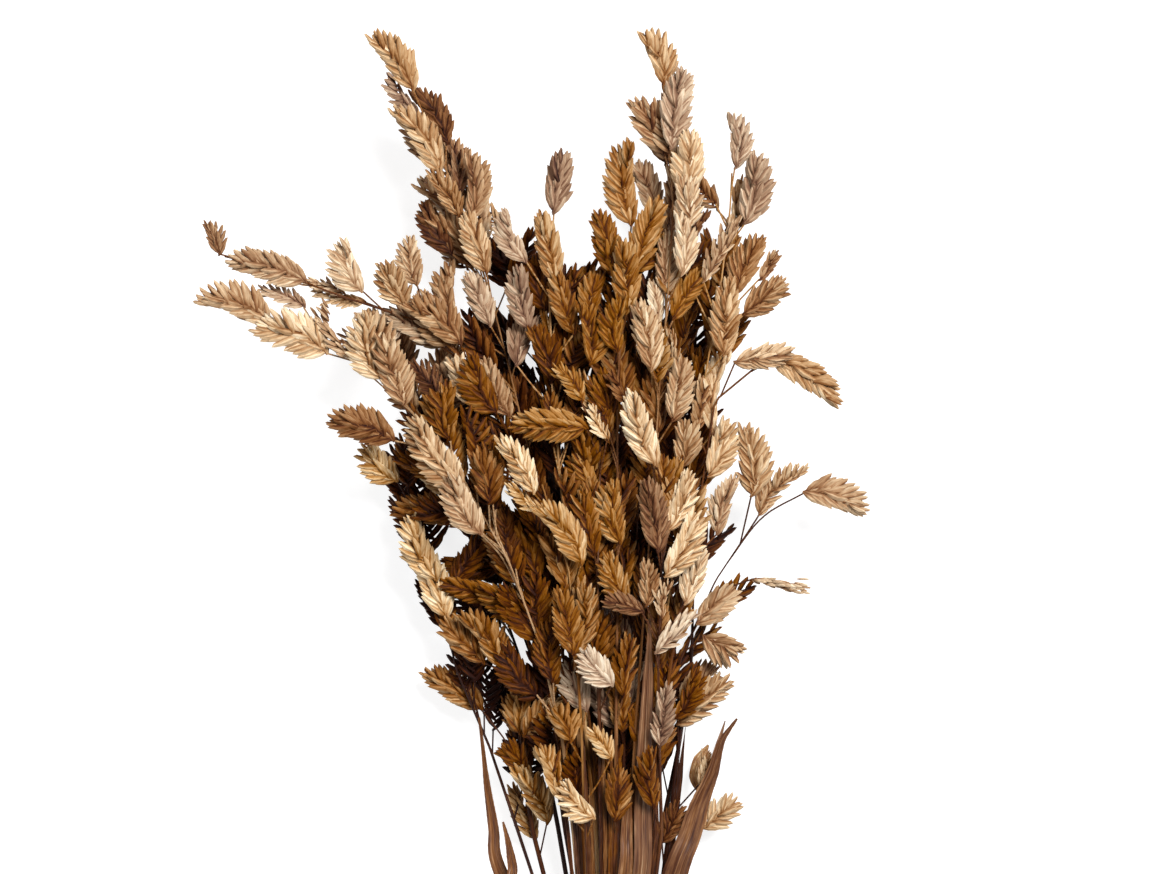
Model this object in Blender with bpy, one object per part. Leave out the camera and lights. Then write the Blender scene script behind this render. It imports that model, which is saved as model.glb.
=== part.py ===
# Bundle of dried northern sea oats lying on its side: stems, leaves and a twine tie.
import math
import random

import bmesh
import bpy
from mathutils import Matrix, Vector
from mathutils.bvhtree import BVHTree

MM = 0.001
rng = random.Random(4437)

# Tie and the packing of the stems through it
TIE_OUTER = 13.6
TIE_INNER = 11.5
FLAT_HALF_ANGLE = math.radians(20.0)
TIE_Z = TIE_OUTER * math.cos(FLAT_HALF_ANGLE)
TIE_STEPS = 15
TURNS = 5
TURN_WIDTH = 2.0
TURN_DEPTH = 0.7
TURN_CROWN = (0.27, 0.73)
TURN_INSET = 0.5
KNOT_SIZE = (3.6, 2.8, 2.0)
KNOT_X = (2.0, 4.0)
CUT_Y = -188.0
CUT_UNEVEN = 9.0
CUT_SPREAD = 1.5
CUT_Z = 15.6
BACK_Y = -62.0
BACK_SPREAD = 1.1
BACK_RAISED = 0.6
STRAIGHT_HALF = 8.0
FRONT_Y = 40.0
FRONT_SHARE = 0.4
LOW_Y = 80.0
HEAD_Y = 210.0
ROW_SLOT_Z = (8.0, 4.9, 1.8, -1.8, -4.9, -8.0)
ROW_LOW_Z = (41.0, 35.5, 29.5, 22.5, 16.5, 10.5)
ROW_HEAD_Z = (64.0, 56.0, 47.0, 37.0, 27.0, 17.0)

# Culm: slender towards the tip, swollen at one knot, a little wavy among the heads
CULM_RADIUS = 1.35
RACHIS_RADIUS = 0.75
CULM_SIDES = 5
CULM_SPAN = 34.0
ROUTE_STEPS = 12
CULM_LAST_SPAN = 12.0
CULM_FIXED_Y = (-8.0, 8.0, 34.0, 62.0)
TAPER_FROM_Y = 96.0
TAPER_OVER = 160.0
KNOT_FROM_Y = -140.0
KNOT_TO_Y = -90.0
KNOT_HALF = 2.2
KNOT_SWELL = 1.38
WAVE = 2.4
WAVE_FROM_Y = 110.0
WAVE_GROWS_OVER = 60.0
WAVE_STEP = 26.0

# Stalk from the rachis to a spikelet
PEDICEL_RADIUS = 0.5
SHORT_STALK = 21.0
STALK_BEND = 0.38
STALK_GAP = 5.0
STALK_GAP_SHARE = 0.7
STALK_ROOT = 1.0
ATTACH_STEP = 3.0
ATTACH_GAP = 2.5

# Spikelet: a flat blade whose edges step out in floret teeth, left and right in turn
THICK_SHARE = 0.30
WIDTH_GAIN = 1.1
STATIONS = 5
LONG_STATIONS = 6
LONG_SPIKELET = 31.0
TOOTH_IN = 0.66
TOOTH_AHEAD = 0.85
TOOTH_FACE = 0.78
TOOTH_WIDTH_AT = 0.4
FULL_LENGTH_TO_WIDTH = 27.0 / 14.3
PITCH_SPREAD = 13.0
PITCH_SHARE = 0.35
PITCH_UP_CHANCE = 0.6
ROLL_SPREAD = 12.0

# Room kept free between pieces, and the changes tried to find it
SPARE = 0.35
SHRINKS = (1.0, 0.86)
RISE_STEP = 1.8
RISE_STEPS = 12
ROLL_STEP = 16.0
NOD_STEP = 9.0
ROLL_COST = 1.3
NOD_COST = 1.2

# Dry colours: most stems are brown, some are paler or brighter
BROWN = (0.27, 0.14, 0.066)
PALE = (0.50, 0.36, 0.23)
BRIGHT = (0.52, 0.31, 0.13)
DARK = (0.14, 0.07, 0.035)
LEAF_BROWN = (0.19, 0.11, 0.075)
JUTE = (0.55, 0.40, 0.24)
STEM_TONES = {"stem_front_right": PALE, "stem_upper_right": PALE, "stem_right": PALE,
              "stem_left_bright": BRIGHT, "stem_left_long": BRIGHT, "stem_far_left": BRIGHT,
              "stem_under_left": DARK, "stem_under_centre": DARK, "stem_left_middle": DARK}
DRY_ROUGHNESS = 0.75
TWINE_ROUGHNESS = 0.9
SHARP_ANGLE = math.radians(50.0)

# Half width and half thickness of a spikelet along its length
WIDTH_AT = ((0.0, 0.2), (0.16, 0.74), (0.32, 1.0), (0.62, 1.0), (0.86, 0.7), (1.0, 0.3))
THICK_AT = ((0.0, 0.3), (0.17, 0.9), (0.4, 1.0), (0.75, 0.8), (1.0, 0.3))

# Each stem: name, row (0 on top), place in the row, route from the low mark,
# rise at the tip, and its spikelets: base x y, tip x y, width, lift, roll
STEMS = (
    ("stem_front_left", 0, -5.4, 0.0,
     ((-7, 80), (-9, 130), (-11, 165), (-14, 200), (-21, 224), (-25, 236)),
     ((-9, 204, -24.7, 233, 13, 8, 0), (-12, 167, -5.3, 200, 13, 5, 8),
      (-12.5, 168, -18, 197, 12, 8, -10), (-7, 145, -16.3, 166, 13, 5, 0),
      (-26.5, 225, -40, 237, 8, 4, 45), (-28, 232, -40.5, 257.5, 11, 7, 10),
      (-3.7, 102.6, -19.5, 116.6, 11, 8, 0), (2.6, 125.9, -5.7, 140.6, 9, 7, 20),
      (-18.3, 108.9, -24.5, 134, 12, 1, 25), (-13.4, 133, -20, 149, 12, 4, 0))),
    ("stem_front_right", 0, 5.4, 0.0,
     ((22, 80), (21.5, 130), (21, 165), (21, 190), (24, 215), (25, 240)),
     ((23.2, 199.2, 39.2, 225.8, 13, 7, 0), (24.7, 217.6, 35.3, 242, 12, 4, 15),
      (20.5, 243, 6.5, 273, 13.5, 9, 0), (9.5, 267, 0, 281.5, 8, 5, 35),
      (16, 187.5, 18, 207, 10, 5, 0), (15.5, 185, -1.2, 191.4, 10, 2, 0),
      (19.3, 169, 36, 187.5, 11, 4, 35),
      (20.9, 208.9, 17, 240, 13, 4, 0), (31.5, 188, 38.5, 212.5, 12, 1, 0),
      (21.3, 131.5, 25.3, 158, 10, 7, 0), (22.3, 183, 23, 199.5, 7, 8, 50))),
    ("stem_left_long", 1, -7.2, 4.0,
     ((-11, 80), (-20, 150), (-38, 205), (-58, 240), (-76, 264), (-88, 278),
      (-100, 286), (-111, 290), (-130, 299)),
     ((-133, 299.5, -161.5, 314.5, 14, 1, 0), (-109.5, 287.5, -138.5, 303.5, 15, 4, 0),
      (-119, 306, -139, 315.5, 9, -4, 30), (-98, 285, -117.5, 306, 7, 2, 70),
      (-88, 277, -100.5, 304, 13, 4, 0), (-79, 267, -90, 297, 13, 7, -10),
      (-64.8, 269, -79, 286.5, 10, -5, 30), (-56, 234.6, -80, 262, 13.5, 6, 0),
      (-83.2, 253, -110.4, 264.6, 14, 2, 0), (-48.5, 216, -65, 240, 13.5, 7, 0))),
    ("stem_centre_front", 1, -3.6, 0.0,
     ((-1, 80), (-2.5, 150), (-3, 200), (-2, 240), (-2, 258)),
     ((-9, 268, -19.5, 285.5, 9, 5, 15), (-3.5, 260, -10, 282.5, 9, 3, 40),
      (1.4, 253.5, -8, 268, 7, 7, 40), (-6.6, 258.3, -38.5, 261, 13, 9, 0),
      (6.3, 212, -0.6, 238, 12, 4, 0), (-6, 213, -5.5, 240, 12, 1, 0),
      (8.8, 189, -1.5, 208.5, 12, 4, 0),
      (-3, 232, -14, 249.5, 12, -2, 0), (3.3, 156, -10.5, 170.5, 12.5, 14, 0))),
    ("stem_top_centre", 1, 0.0, 3.0,
     ((4, 80), (4.5, 150), (5, 220), (5, 280), (8, 315), (10, 334)),
     ((10.5, 338, 5, 373.5, 14, 2, 0), (10.5, 319, 22, 350.5, 14, 3, 0),
      (8.5, 303, 8.5, 335, 13, 7, 0), (-5.5, 302, -4.5, 322, 12, 0, 0),
      (2.5, 319, -1.5, 346, 12, 1, 0), (5, 288, 4, 312, 12, 6, 0),
      (-6, 283, -6, 309.5, 12, 3, 0), (8, 268, 0, 297, 13, 1, 0))),
    ("stem_top_right", 1, 3.6, 6.0,
     ((9, 80), (13, 150), (18, 220), (22, 280), (26, 325), (27, 362), (25, 380),
      (23.5, 392)),
     ((23, 393, 18, 417, 14, 2, 0), (26, 368, 30, 401.5, 14, 3, 0),
      (24, 366, 12, 390, 14, 0, 0), (32.5, 348, 34, 377, 14, 2, 0),
      (31, 336, 33.5, 359, 12, 4, 0), (30, 318, 31.5, 345, 12, 5, 10),
      (24, 311, 24.5, 338.5, 11, 2, 0), (18.5, 280.5, 14, 310, 12.5, 7, 0),
      (20.8, 299, 19.3, 318, 9, -2, 30), (26.6, 260.5, 31.6, 287.5, 12, 6, 0),
      (27, 277, 25, 300, 8, -3, 55))),
    ("stem_right", 1, 7.2, 0.0,
     ((16, 80), (24, 150), (34, 210), (41, 250), (45, 276), (51, 284), (64, 286)),
     ((50.5, 284.5, 76, 288.5, 12, 4, 15), (66, 286, 96.5, 270.5, 13.5, 0, 0),
      (40.7, 238.5, 50.5, 262.5, 13, 4, 0), (30.5, 242.5, 34, 262.5, 13, 0, 0),
      (44.5, 215.5, 49, 241, 11, 1, 20), (36, 257, 38.5, 280, 10, -4, 30))),
    ("stem_left_arch", 2, -5.4, 8.0,
     ((-8, 80), (-14, 150), (-27, 220), (-44, 270), (-58, 291), (-78, 303),
      (-96, 309), (-119, 314), (-140, 324), (-151, 326.5)),
     ((-153, 326.5, -156.5, 341, 9, 2, 0), (-118, 316, -150.5, 328, 13, 2, 0),
      (-103, 311, -121, 318.5, 8, -3, 40), (-95, 308.5, -119.5, 312.5, 8, 0, 55),
      (-96, 312, -107.5, 333, 13.5, 3, 0), (-79, 306, -89.5, 324.5, 12.5, 3, 0),
      (-74.5, 314.5, -80.5, 335, 11, 1, 0), (-57, 291, -79, 312, 13, 5, 0),
      (-76, 301.5, -100.5, 299.5, 12, -4, 0), (-54, 266.5, -58.5, 289, 12, 7, 0),
      (-37.6, 262.5, -51.5, 286.5, 12, 4, 0))),
    ("stem_upper_left", 2, -1.8, 4.0,
     ((-2, 80), (-8, 140), (-14, 200), (-19, 250), (-22, 290), (-22, 316), (-21, 336)),
     ((-31, 324, -45, 344.5, 12, 2, 0), (-30.5, 297, -36, 324.5, 12, 3, 0),
      (-19.5, 315, -25, 345.5, 13, 4, 0), (-20.5, 343, -17, 370, 14, 2, 0),
      (-12, 295, -21, 321, 12, 3, 0), (-35.5, 282.5, -29, 305, 13, 0, 0))),
    ("stem_inner_right", 2, 1.8, 0.0,
     ((7, 80), (7.5, 130), (8, 160), (8, 185)),
     ((5, 137, -5, 157, 12, 2, 0), (6.5, 136, 5, 158, 11, 4, 30),
      (9.5, 157, 5, 184, 12, 1, 0), (10.8, 147.5, 14.2, 174, 11, 6, 0))),
    ("stem_upper_right", 2, 5.4, 4.0,
     ((12, 80), (20, 150), (30, 220), (40, 280), (47, 320), (50, 348), (50.5, 360)),
     ((51.5, 361, 54, 385, 11.5, 2, 0), (55.5, 339, 63, 368, 14.5, 4, 0),
      (48, 330, 57, 360, 8, 1, 60), (38.5, 316, 53.5, 343.5, 10, 3, 40),
      (52, 311, 61, 336.5, 14, 1, 0), (54.5, 303, 72.5, 317, 13, 4, 0),
      (47, 286.5, 49, 319.5, 13, 5, 0), (31, 321, 37.5, 347.5, 11, -2, 0),
      (42.6, 255.5, 44, 291.5, 9, 5, 30), (61, 317, 69.5, 329.5, 8, -3, 30))),
    ("stem_left_low", 3, -5.4, 0.0,
     ((-10, 80), (-14, 115), (-22, 150), (-31, 175), (-39, 192)),
     ((-48, 163.5, -66.5, 182, 13, 3, 0), (-42, 161.5, -55, 188, 13, 6, 0),
      (-26.6, 197, -49.5, 216, 13, 6, 0), (-24, 179.5, -53, 195.5, 14, 6, 0),
      (-34.5, 219, -50.5, 234.5, 9, 2, 30), (-45, 189.5, -67, 197, 11, -3, 0))),
    ("stem_far_left", 3, -1.8, 10.0,
     ((-3, 80), (-10, 140), (-20, 200), (-33, 260), (-43, 300), (-49, 325), (-58, 348),
      (-66, 368), (-76, 392)),
     ((-76, 392, -91, 418, 14, 3, 0), (-74, 383, -89.5, 399, 10, -4, 25),
      (-66, 359, -80.5, 389.5, 13, 6, 0), (-63, 371, -75, 397.5, 12, 0, 0),
      (-60, 344, -60, 374.5, 10, -3, 40), (-58, 342, -69, 362.5, 10, 2, 0),
      (-54, 341, -50, 370.5, 13, 3, 0), (-47, 319.5, -55.5, 345.5, 13, 6, 0),
      (-61, 327.5, -74.5, 349.5, 13, -2, 0), (-61, 301, -65, 326.5, 13, 0, 0),
      (-45.5, 298.5, -55.5, 321.5, 12, 3, 0))),
    ("stem_right_branch", 3, 5.4, 0.0,
     ((18, 80), (22, 120), (29, 160), (37, 188), (45, 198), (54, 211), (61, 222)),
     ((58.6, 230.5, 59.6, 261, 14, 4, 0), (61.5, 223, 78.5, 247, 10, 0, 20),
      (79, 232.6, 107, 228, 14, 2, 0), (36.3, 179.5, 53, 196, 13.5, 7, 0),
      (58.6, 198.2, 83, 192.9, 7.5, 2, 65), (39, 175.5, 55, 167, 14, 2, 0))),
    ("stem_low_right", 3, 9.0, 0.0,
     ((25, 80), (26, 105), (28.5, 125), (30.5, 138)),
     ((28.5, 139, 50.5, 160, 12.5, 5, 0), (22.5, 91, 32, 107.5, 11, 5, 0),
      (39.5, 96, 55, 108.5, 12, -4, 0), (37.5, 113.5, 42.5, 129, 8, 2, 40),
      (30, 147, 45, 165, 12, -4, 20))),
    ("stem_left_bright", 4, -7.2, 0.0,
     ((-30, 80), (-40.5, 111), (-47.5, 132), (-53, 147), (-60, 161), (-65.5, 175),
      (-66, 190), (-73, 212), (-80, 229)),
     ((-63.5, 181.5, -73, 209, 14, 8, 0), (-67, 197, -81.5, 223.5, 14, 7, -10),
      (-83, 237, -99, 250, 12.5, 4, 0))),
    ("stem_lower_left", 4, -3.6, 0.0,
     ((-26, 80), (-30, 100), (-34, 120), (-35, 131)),
     ((-49.3, 144, -74.5, 161.5, 12.5, 3, 0), (-34, 134, -30.5, 161.5, 12, 6, 0),
      (-33, 134, -16, 152, 13, 9, 0), (-34.5, 134, -40.5, 151, 9, 1, 20),
      (-32, 119.5, -41, 132.5, 12, 3, 0), (-23, 98, -34.5, 125.5, 13, 6, 0),
      (-28, 90.5, -39, 114.5, 11, 2, 25))),
    ("stem_left_middle", 4, 0.0, 0.0,
     ((-14, 80), (-21, 130), (-34, 180), (-48, 210), (-60, 224)),
     ((-60, 231, -75, 248, 13, 8, 0), (-60, 219.5, -85.5, 229.5, 13.5, 5, 0),
      (-41, 202.5, -67.5, 203, 12, -3, 0))),
)

# Stems of the hidden inside and underside; their spikelets are set by rule
UNDER_STEMS = (
    ("stem_inner_centre", 3, 1.8, 6.0, ((6, 80), (9, 150), (13, 220), (17, 290), (22, 335))),
    ("stem_under_right", 4, 3.6, 4.0, ((12, 80), (22, 150), (34, 220), (42, 278), (50, 310))),
    ("stem_under_far_right", 4, 7.2, 2.0, ((20, 80), (30, 130), (35, 165), (36, 200))),
    ("stem_under_left", 5, -5.4, 3.0, ((-16, 80), (-30, 150), (-50, 210), (-66, 252), (-82, 282))),
    ("stem_under_centre", 5, -1.8, 5.0, ((-2, 80), (-7, 150), (-16, 220), (-27, 290), (-36, 330))),
    ("stem_under_middle", 5, 5.4, 3.0, ((12, 80), (18, 150), (24, 220), (28, 290), (30, 320))),
)
REST_SPIKELETS = (
    ("stem_under_left", (-46, 216, -62, 240, 13, -10, 0)),
    ("stem_under_middle", (36, 200, 50, 222, 13, -10, 0)),
)
UNDER_STEP = 32.0
UNDER_UNEVEN = (0.75, 1.2)
UNDER_FIRST = 3.0
UNDER_LAST_Y = 128.0
UNDER_TURN = (18.0, 44.0)
UNDER_AWAY = (5.0, 9.0)
UNDER_LENGTH = (24.0, 29.0)
UNDER_WIDTH = (11.5, 13.5)
UNDER_LIFT = (-7.0, 5.0)
UNDER_ROLL = (-75.0, 75.0)

# Leaves: name, row, place in the row, route of the blade with its width
LEAVES = (
    ("leaf_centre_short", 0, -1.8,
     ((8, 80, 5), (8.6, 95, 5), (9, 108, 4), (9, 119, 0.8))),
    ("leaf_centre", 0, 1.8,
     ((14.6, 80, 6.6), (15.2, 105, 6.4), (16.2, 135, 6.2), (17, 156, 5.2), (17.5, 172, 3.6),
      (17.8, 183, 0.8))),
    ("leaf_left_short", 2, -9.0,
     ((-36, 72, 4.6), (-37.2, 82, 4.6), (-39, 92, 3.2), (-41, 100, 0.8))),
    ("leaf_right", 2, 9.0,
     ((28.6, 80, 9), (34, 94, 9.6), (38, 107, 8.4), (43.2, 120, 7.8), (45.4, 128.3, 5.2),
      (47.4, 134, 3), (52.9, 142, 0.8))),
    ("leaf_left", 3, -9.0,
     ((-42.5, 80, 6), (-45, 97, 5), (-47.6, 115, 3.6), (-49.2, 130, 1.8), (-50.6, 142, 0.8))),
)
LEAF_THICK = 0.5
LEAF_EDGE = 0.32
LEAF_FOLD = 0.13
LEAF_CULM_RADIUS = 1.2
LEAF_CUT_Y = -190.0


def table_value(table, s):
    for (s0, v0), (s1, v1) in zip(table, table[1:]):
        if s <= s1:
            return v0 + (v1 - v0) * (s - s0) / (s1 - s0)
    return table[-1][1]


def ease(t):
    t = min(1.0, max(0.0, t))
    return t * t * (3.0 - 2.0 * t)


def smooth_route(points, steps):
    """Catmull-Rom curve through the points, with this many steps a span."""
    ends = [points[0] * 2 - points[1]] + list(points) + [points[-1] * 2 - points[-2]]
    out = []
    for i in range(1, len(ends) - 2):
        a, b, c, d = ends[i - 1], ends[i], ends[i + 1], ends[i + 2]
        for k in range(steps):
            t = k / steps
            out.append(0.5 * ((2 * b) + (c - a) * t + (2 * a - 5 * b + 4 * c - d) * t * t
                              + (3 * b - a - 3 * c + d) * t * t * t))
    out.append(points[-1].copy())
    return out


def stem_route(row, slot_x, rise, marks, cut_y):
    """The stem from its cut end through the tie to the tip of its head."""
    slot_z = ROW_SLOT_Z[row]
    low_z = ROW_LOW_Z[row]
    low_x = marks[0][0]
    cut_x = slot_x * CUT_SPREAD
    points = [Vector((cut_x, cut_y, CUT_Z + slot_z * CUT_SPREAD)),
              Vector((slot_x * BACK_SPREAD, BACK_Y,
                      TIE_Z + BACK_RAISED + slot_z * BACK_SPREAD)),
              Vector((slot_x, -STRAIGHT_HALF, TIE_Z + slot_z)),
              Vector((slot_x, STRAIGHT_HALF, TIE_Z + slot_z)),
              Vector((slot_x + (low_x - slot_x) * FRONT_SHARE, FRONT_Y,
                      TIE_Z + slot_z + (low_z - TIE_Z - slot_z) * FRONT_SHARE))]
    last_y = marks[-1][1]
    phase = rng.uniform(0.0, 2.0 * math.pi)
    for x, y in marks:
        z = low_z + (ROW_HEAD_Z[row] - low_z) * ease((y - LOW_Y) / (HEAD_Y - LOW_Y))
        z += rise * max(0.0, (y - HEAD_Y) / max(1.0, last_y - HEAD_Y))
        grown = ease((y - WAVE_FROM_Y) / WAVE_GROWS_OVER)
        z += WAVE * grown * math.sin(phase + y / WAVE_STEP)
        points.append(Vector((x, y, z)))
    return points


def tube(path, radii, sides):
    """Closed faceted tube along a path: vertices and triangles."""
    verts = []
    faces = []
    normal = Vector((0.0, 0.0, 1.0))
    for k, point in enumerate(path):
        ahead = path[min(k + 1, len(path) - 1)] - path[max(k - 1, 0)]
        ahead.normalize()
        normal = (normal - ahead * ahead.dot(normal)).normalized()
        side = ahead.cross(normal)
        for i in range(sides):
            turn = 2 * math.pi * i / sides
            verts.append(point + (side * math.cos(turn) + normal * math.sin(turn)) * radii[k])
    for k in range(len(path) - 1):
        for i in range(sides):
            a = k * sides + i
            b = k * sides + (i + 1) % sides
            faces.append((a, b, b + sides))
            faces.append((a, b + sides, a + sides))
    first = range(sides)
    last = range((len(path) - 1) * sides, len(path) * sides)
    for i in range(1, sides - 1):
        faces.append((first[0], first[i + 1], first[i]))
        faces.append((last[0], last[i], last[i + 1]))
    return verts, faces


def spikelet_axes(base, tip, roll):
    axis = (tip - base).normalized()
    flat = Vector((0.0, 0.0, 1.0)) - axis * axis.z
    if flat.length < 0.1:
        flat = Vector((0.0, 1.0, 0.0)) - axis * axis.y
    flat.normalize()
    side = axis.cross(flat)
    normal = flat * math.cos(roll) + side * math.sin(roll)
    return axis, axis.cross(normal), normal


def spikelet_rings(base, tip, roll, width, stations, spare):
    """Rings of four (left, face, right, back) whose edges step out in floret teeth."""
    axis, side, normal = spikelet_axes(base, tip, roll)
    length = (tip - base).length
    half = width * 0.5
    step = 1.0 / (stations + 1)
    rings = []
    for k in range(stations):
        s = (k + 1) * step
        deep = half * THICK_SHARE * table_value(THICK_AT, s)
        wide = half * table_value(WIDTH_AT, min(1.0, s + TOOTH_WIDTH_AT * step))
        left_out = k % 2 == 0
        ring = []
        for sign, out in ((-1.0, left_out), (1.0, not left_out)):
            reach = wide if out else wide * TOOTH_IN
            ahead = s + (TOOTH_AHEAD * step if out else 0.0)
            ring.append(base + side * (sign * (reach + spare)) + axis * (ahead * length))
        face = deep * (1.0 if left_out else TOOTH_FACE) + spare
        back = deep * (TOOTH_FACE if left_out else 1.0) + spare
        middle = base + axis * (s * length)
        rings.append((ring[0], middle + normal * face, ring[1], middle - normal * back))
    point = base + axis * (length + spare)
    return rings, point


def loft_rings(rings, point):
    """Skin over rings of four, the folds running forward and outward, ended in a point."""
    verts = [v for ring in rings for v in ring]
    faces = []
    for k in range(len(rings) - 1):
        for i in range(4):
            j = (i + 1) % 4
            a, b = k * 4 + i, k * 4 + j
            c, d = a + 4, b + 4
            if i % 2 == 0:
                faces.append((a, b, c))
                faces.append((b, d, c))
            else:
                faces.append((a, b, d))
                faces.append((a, d, c))
    top = len(verts)
    verts.append(point)
    low = (len(rings) - 1) * 4
    for i in range(4):
        faces.append((low + i, low + (i + 1) % 4, top))
    faces.append((0, 2, 1))
    faces.append((0, 3, 2))
    return verts, faces


def pedicel_path(start, lead, base, axis):
    """Short stalk: leaves the rachis forward and enters the spikelet along its axis."""
    span = (base - start).length
    if span < SHORT_STALK:
        return [start, base]
    bend = (start + lead * (STALK_BEND * span) + base - axis * (STALK_BEND * span)) * 0.5
    middle = start * 0.25 + bend * 0.5 + base * 0.25
    return [start, middle, base]


def pedicel_rings(path, side, normal, spare):
    rings = []
    radius = PEDICEL_RADIUS + spare
    for point in path:
        rings.append((point - side * radius, point + normal * radius,
                      point + side * radius, point - normal * radius))
    return rings


def tree_of(verts, faces):
    low = [min(v[i] for v in verts) for i in range(3)]
    high = [max(v[i] for v in verts) for i in range(3)]
    return BVHTree.FromPolygons(verts, faces), low, high


def apart(one, other):
    for i in range(3):
        if one[1][i] > other[2][i] or other[1][i] > one[2][i]:
            return True
    return not one[0].overlap(other[0])


def clear_of(shape, placed, skip):
    for owner, other in placed:
        if owner in skip:
            continue
        if not apart(shape, other):
            return False
    return True


# Small changes tried in turn until a spikelet is clear of its neighbours
TRIES = []
for rise_step in range(-RISE_STEPS, RISE_STEPS + 1):
    for roll_step in (0, 1, -1, 2, -2):
        for pitch_step in (0, 1, -1, 2, -2):
            cost = abs(rise_step) + ROLL_COST * abs(roll_step) + NOD_COST * abs(pitch_step)
            TRIES.append((cost, rise_step * RISE_STEP, roll_step * ROLL_STEP,
                          pitch_step * NOD_STEP))
TRIES.sort()


def attach_place(route, base, gap, used):
    """Free point of the rachis from which a stalk can run forward to this base."""
    best = min(range(len(route)), key=lambda k: (route[k].xy - base.xy).length)
    back = min(best, len(route) - 2)
    while back > 1 and ((route[back] - route[best]).length < gap
                        or any((route[back] - u).length < ATTACH_GAP for u in used)):
        back -= 1
    lead = (route[back + 1] - route[back - 1]).normalized()
    return route[back].copy(), lead


def place_spikelet(owner, route, spec, placed, used, resting):
    """Where this spikelet sits, clear of all that is placed before it."""
    x0, y0, x1, y1, width, lift, roll = spec
    width *= WIDTH_GAIN
    away = min((p.xy - Vector((x0, y0))).length for p in route)
    start, lead = attach_place(route, Vector((x0, y0, 0.0)),
                               STALK_GAP + STALK_GAP_SHARE * away, used)
    run = math.hypot(x1 - x0, y1 - y0)
    wanted = width * FULL_LENGTH_TO_WIDTH
    slack = math.sqrt(max(0.0, wanted * wanted - run * run))
    sign = 1.0 if rng.random() < PITCH_UP_CHANCE else -1.0
    pitch0 = rng.uniform(-PITCH_SPREAD, PITCH_SPREAD)
    pitch0 += sign * math.degrees(math.atan2(PITCH_SHARE * slack, run))
    roll0 = roll + rng.uniform(-ROLL_SPREAD, ROLL_SPREAD)
    stations = LONG_STATIONS if run > LONG_SPIKELET else STATIONS
    z0 = start.z + lift
    for shrink in SHRINKS:
        for fussy in (True, False):
            for cost, up, turn, nod in TRIES:
                if resting and up != 0.0:
                    continue
                rise = run * math.tan(math.radians(pitch0 + nod))
                base = Vector((x0, y0, z0 + up))
                tip = Vector((x1, y1, z0 + up + rise))
                tip = base + (tip - base) * (0.5 + 0.5 * shrink)
                angle = math.radians(roll0 + turn)
                rings, point = spikelet_rings(base, tip, angle, width * shrink, stations, SPARE)
                if resting:
                    plain, end = spikelet_rings(base, tip, angle, width * shrink, stations, 0.0)
                    drop = min(min(v.z for ring in plain for v in ring), end.z)
                    shift = Vector((0.0, 0.0, -drop))
                    base = base + shift
                    tip = tip + shift
                    rings, point = spikelet_rings(base, tip, angle, width * shrink, stations, SPARE)
                lowest = min(min(v.z for ring in rings for v in ring), point.z)
                if lowest < SPARE and not resting:
                    continue
                axis, side, normal = spikelet_axes(base, tip, angle)
                path = pedicel_path(start, lead, base + axis * STALK_ROOT, axis)
                foot = pedicel_rings(path[-1:], side, normal, SPARE)
                body = tree_of(*loft_rings(foot + rings, point))
                skip = () if fussy else (owner, owner + " head")
                if not clear_of(body, placed, skip):
                    continue
                stalk = tree_of(*tube(path, [PEDICEL_RADIUS + SPARE] * len(path), 4))
                if stalk[1][2] < 0.0:
                    continue
                if not clear_of(stalk, placed, (owner, owner + " head")):
                    continue
                placed.append((owner + " head", body))
                placed.append((owner + " head", stalk))
                used.append(start)
                return path, base, tip, angle, width * shrink, stations
    return None


def under_specs(name, route):
    """Spikelets set alternately along a stem of the inside or the underside."""
    found = []
    distance = 0.0
    wanted = UNDER_FIRST
    sign = 1.0
    for k in range(len(route) - 1, 1, -1):
        distance += (route[k] - route[k - 1]).length
        if distance < wanted:
            continue
        point = route[k]
        if point.y < UNDER_LAST_Y:
            break
        wanted += UNDER_STEP * rng.uniform(*UNDER_UNEVEN)
        heading = math.atan2(route[k].y - route[k - 2].y, route[k].x - route[k - 2].x)
        heading += sign * math.radians(rng.uniform(*UNDER_TURN))
        away = rng.uniform(*UNDER_AWAY)
        length = rng.uniform(*UNDER_LENGTH)
        x0 = point.x + math.cos(heading) * away
        y0 = point.y + math.sin(heading) * away
        x1 = x0 + math.cos(heading) * length
        y1 = y0 + math.sin(heading) * length
        found.append((x0, y0, x1, y1, rng.uniform(*UNDER_WIDTH), rng.uniform(*UNDER_LIFT),
                      rng.uniform(*UNDER_ROLL)))
        sign = -sign
    return found


def culm_parts(points):
    """Places to fix stalks to, path and radii of a culm, swollen at one knot."""
    fine = smooth_route(points, ROUTE_STEPS)
    knot_y = rng.uniform(KNOT_FROM_Y, KNOT_TO_Y)
    path = [fine[0]]
    radii = [CULM_RADIUS]
    wanted = [knot_y - KNOT_HALF, knot_y, knot_y + KNOT_HALF] + list(CULM_FIXED_Y)
    for point in fine[1:-1]:
        if wanted and point.y >= wanted[0]:
            swell = KNOT_SWELL if wanted[0] == knot_y else 1.0
            path.append(Vector((point.x, wanted[0], point.z)))
            radii.append(CULM_RADIUS * swell)
            wanted.pop(0)
        elif not wanted and (point - path[-1]).length > CULM_SPAN:
            share = min(1.0, max(0.0, (point.y - TAPER_FROM_Y) / TAPER_OVER))
            path.append(point)
            radii.append(CULM_RADIUS + (RACHIS_RADIUS - CULM_RADIUS) * share)
    if (fine[-1] - path[-1]).length < CULM_LAST_SPAN:
        path.pop()
        radii.pop()
    path.append(fine[-1])
    radii.append(RACHIS_RADIUS)
    along = []
    for one, other in zip(path, path[1:]):
        steps = max(1, round((other - one).length / ATTACH_STEP))
        for k in range(steps):
            along.append(one.lerp(other, k / steps))
    along.append(path[-1])
    return along, path, radii


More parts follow.
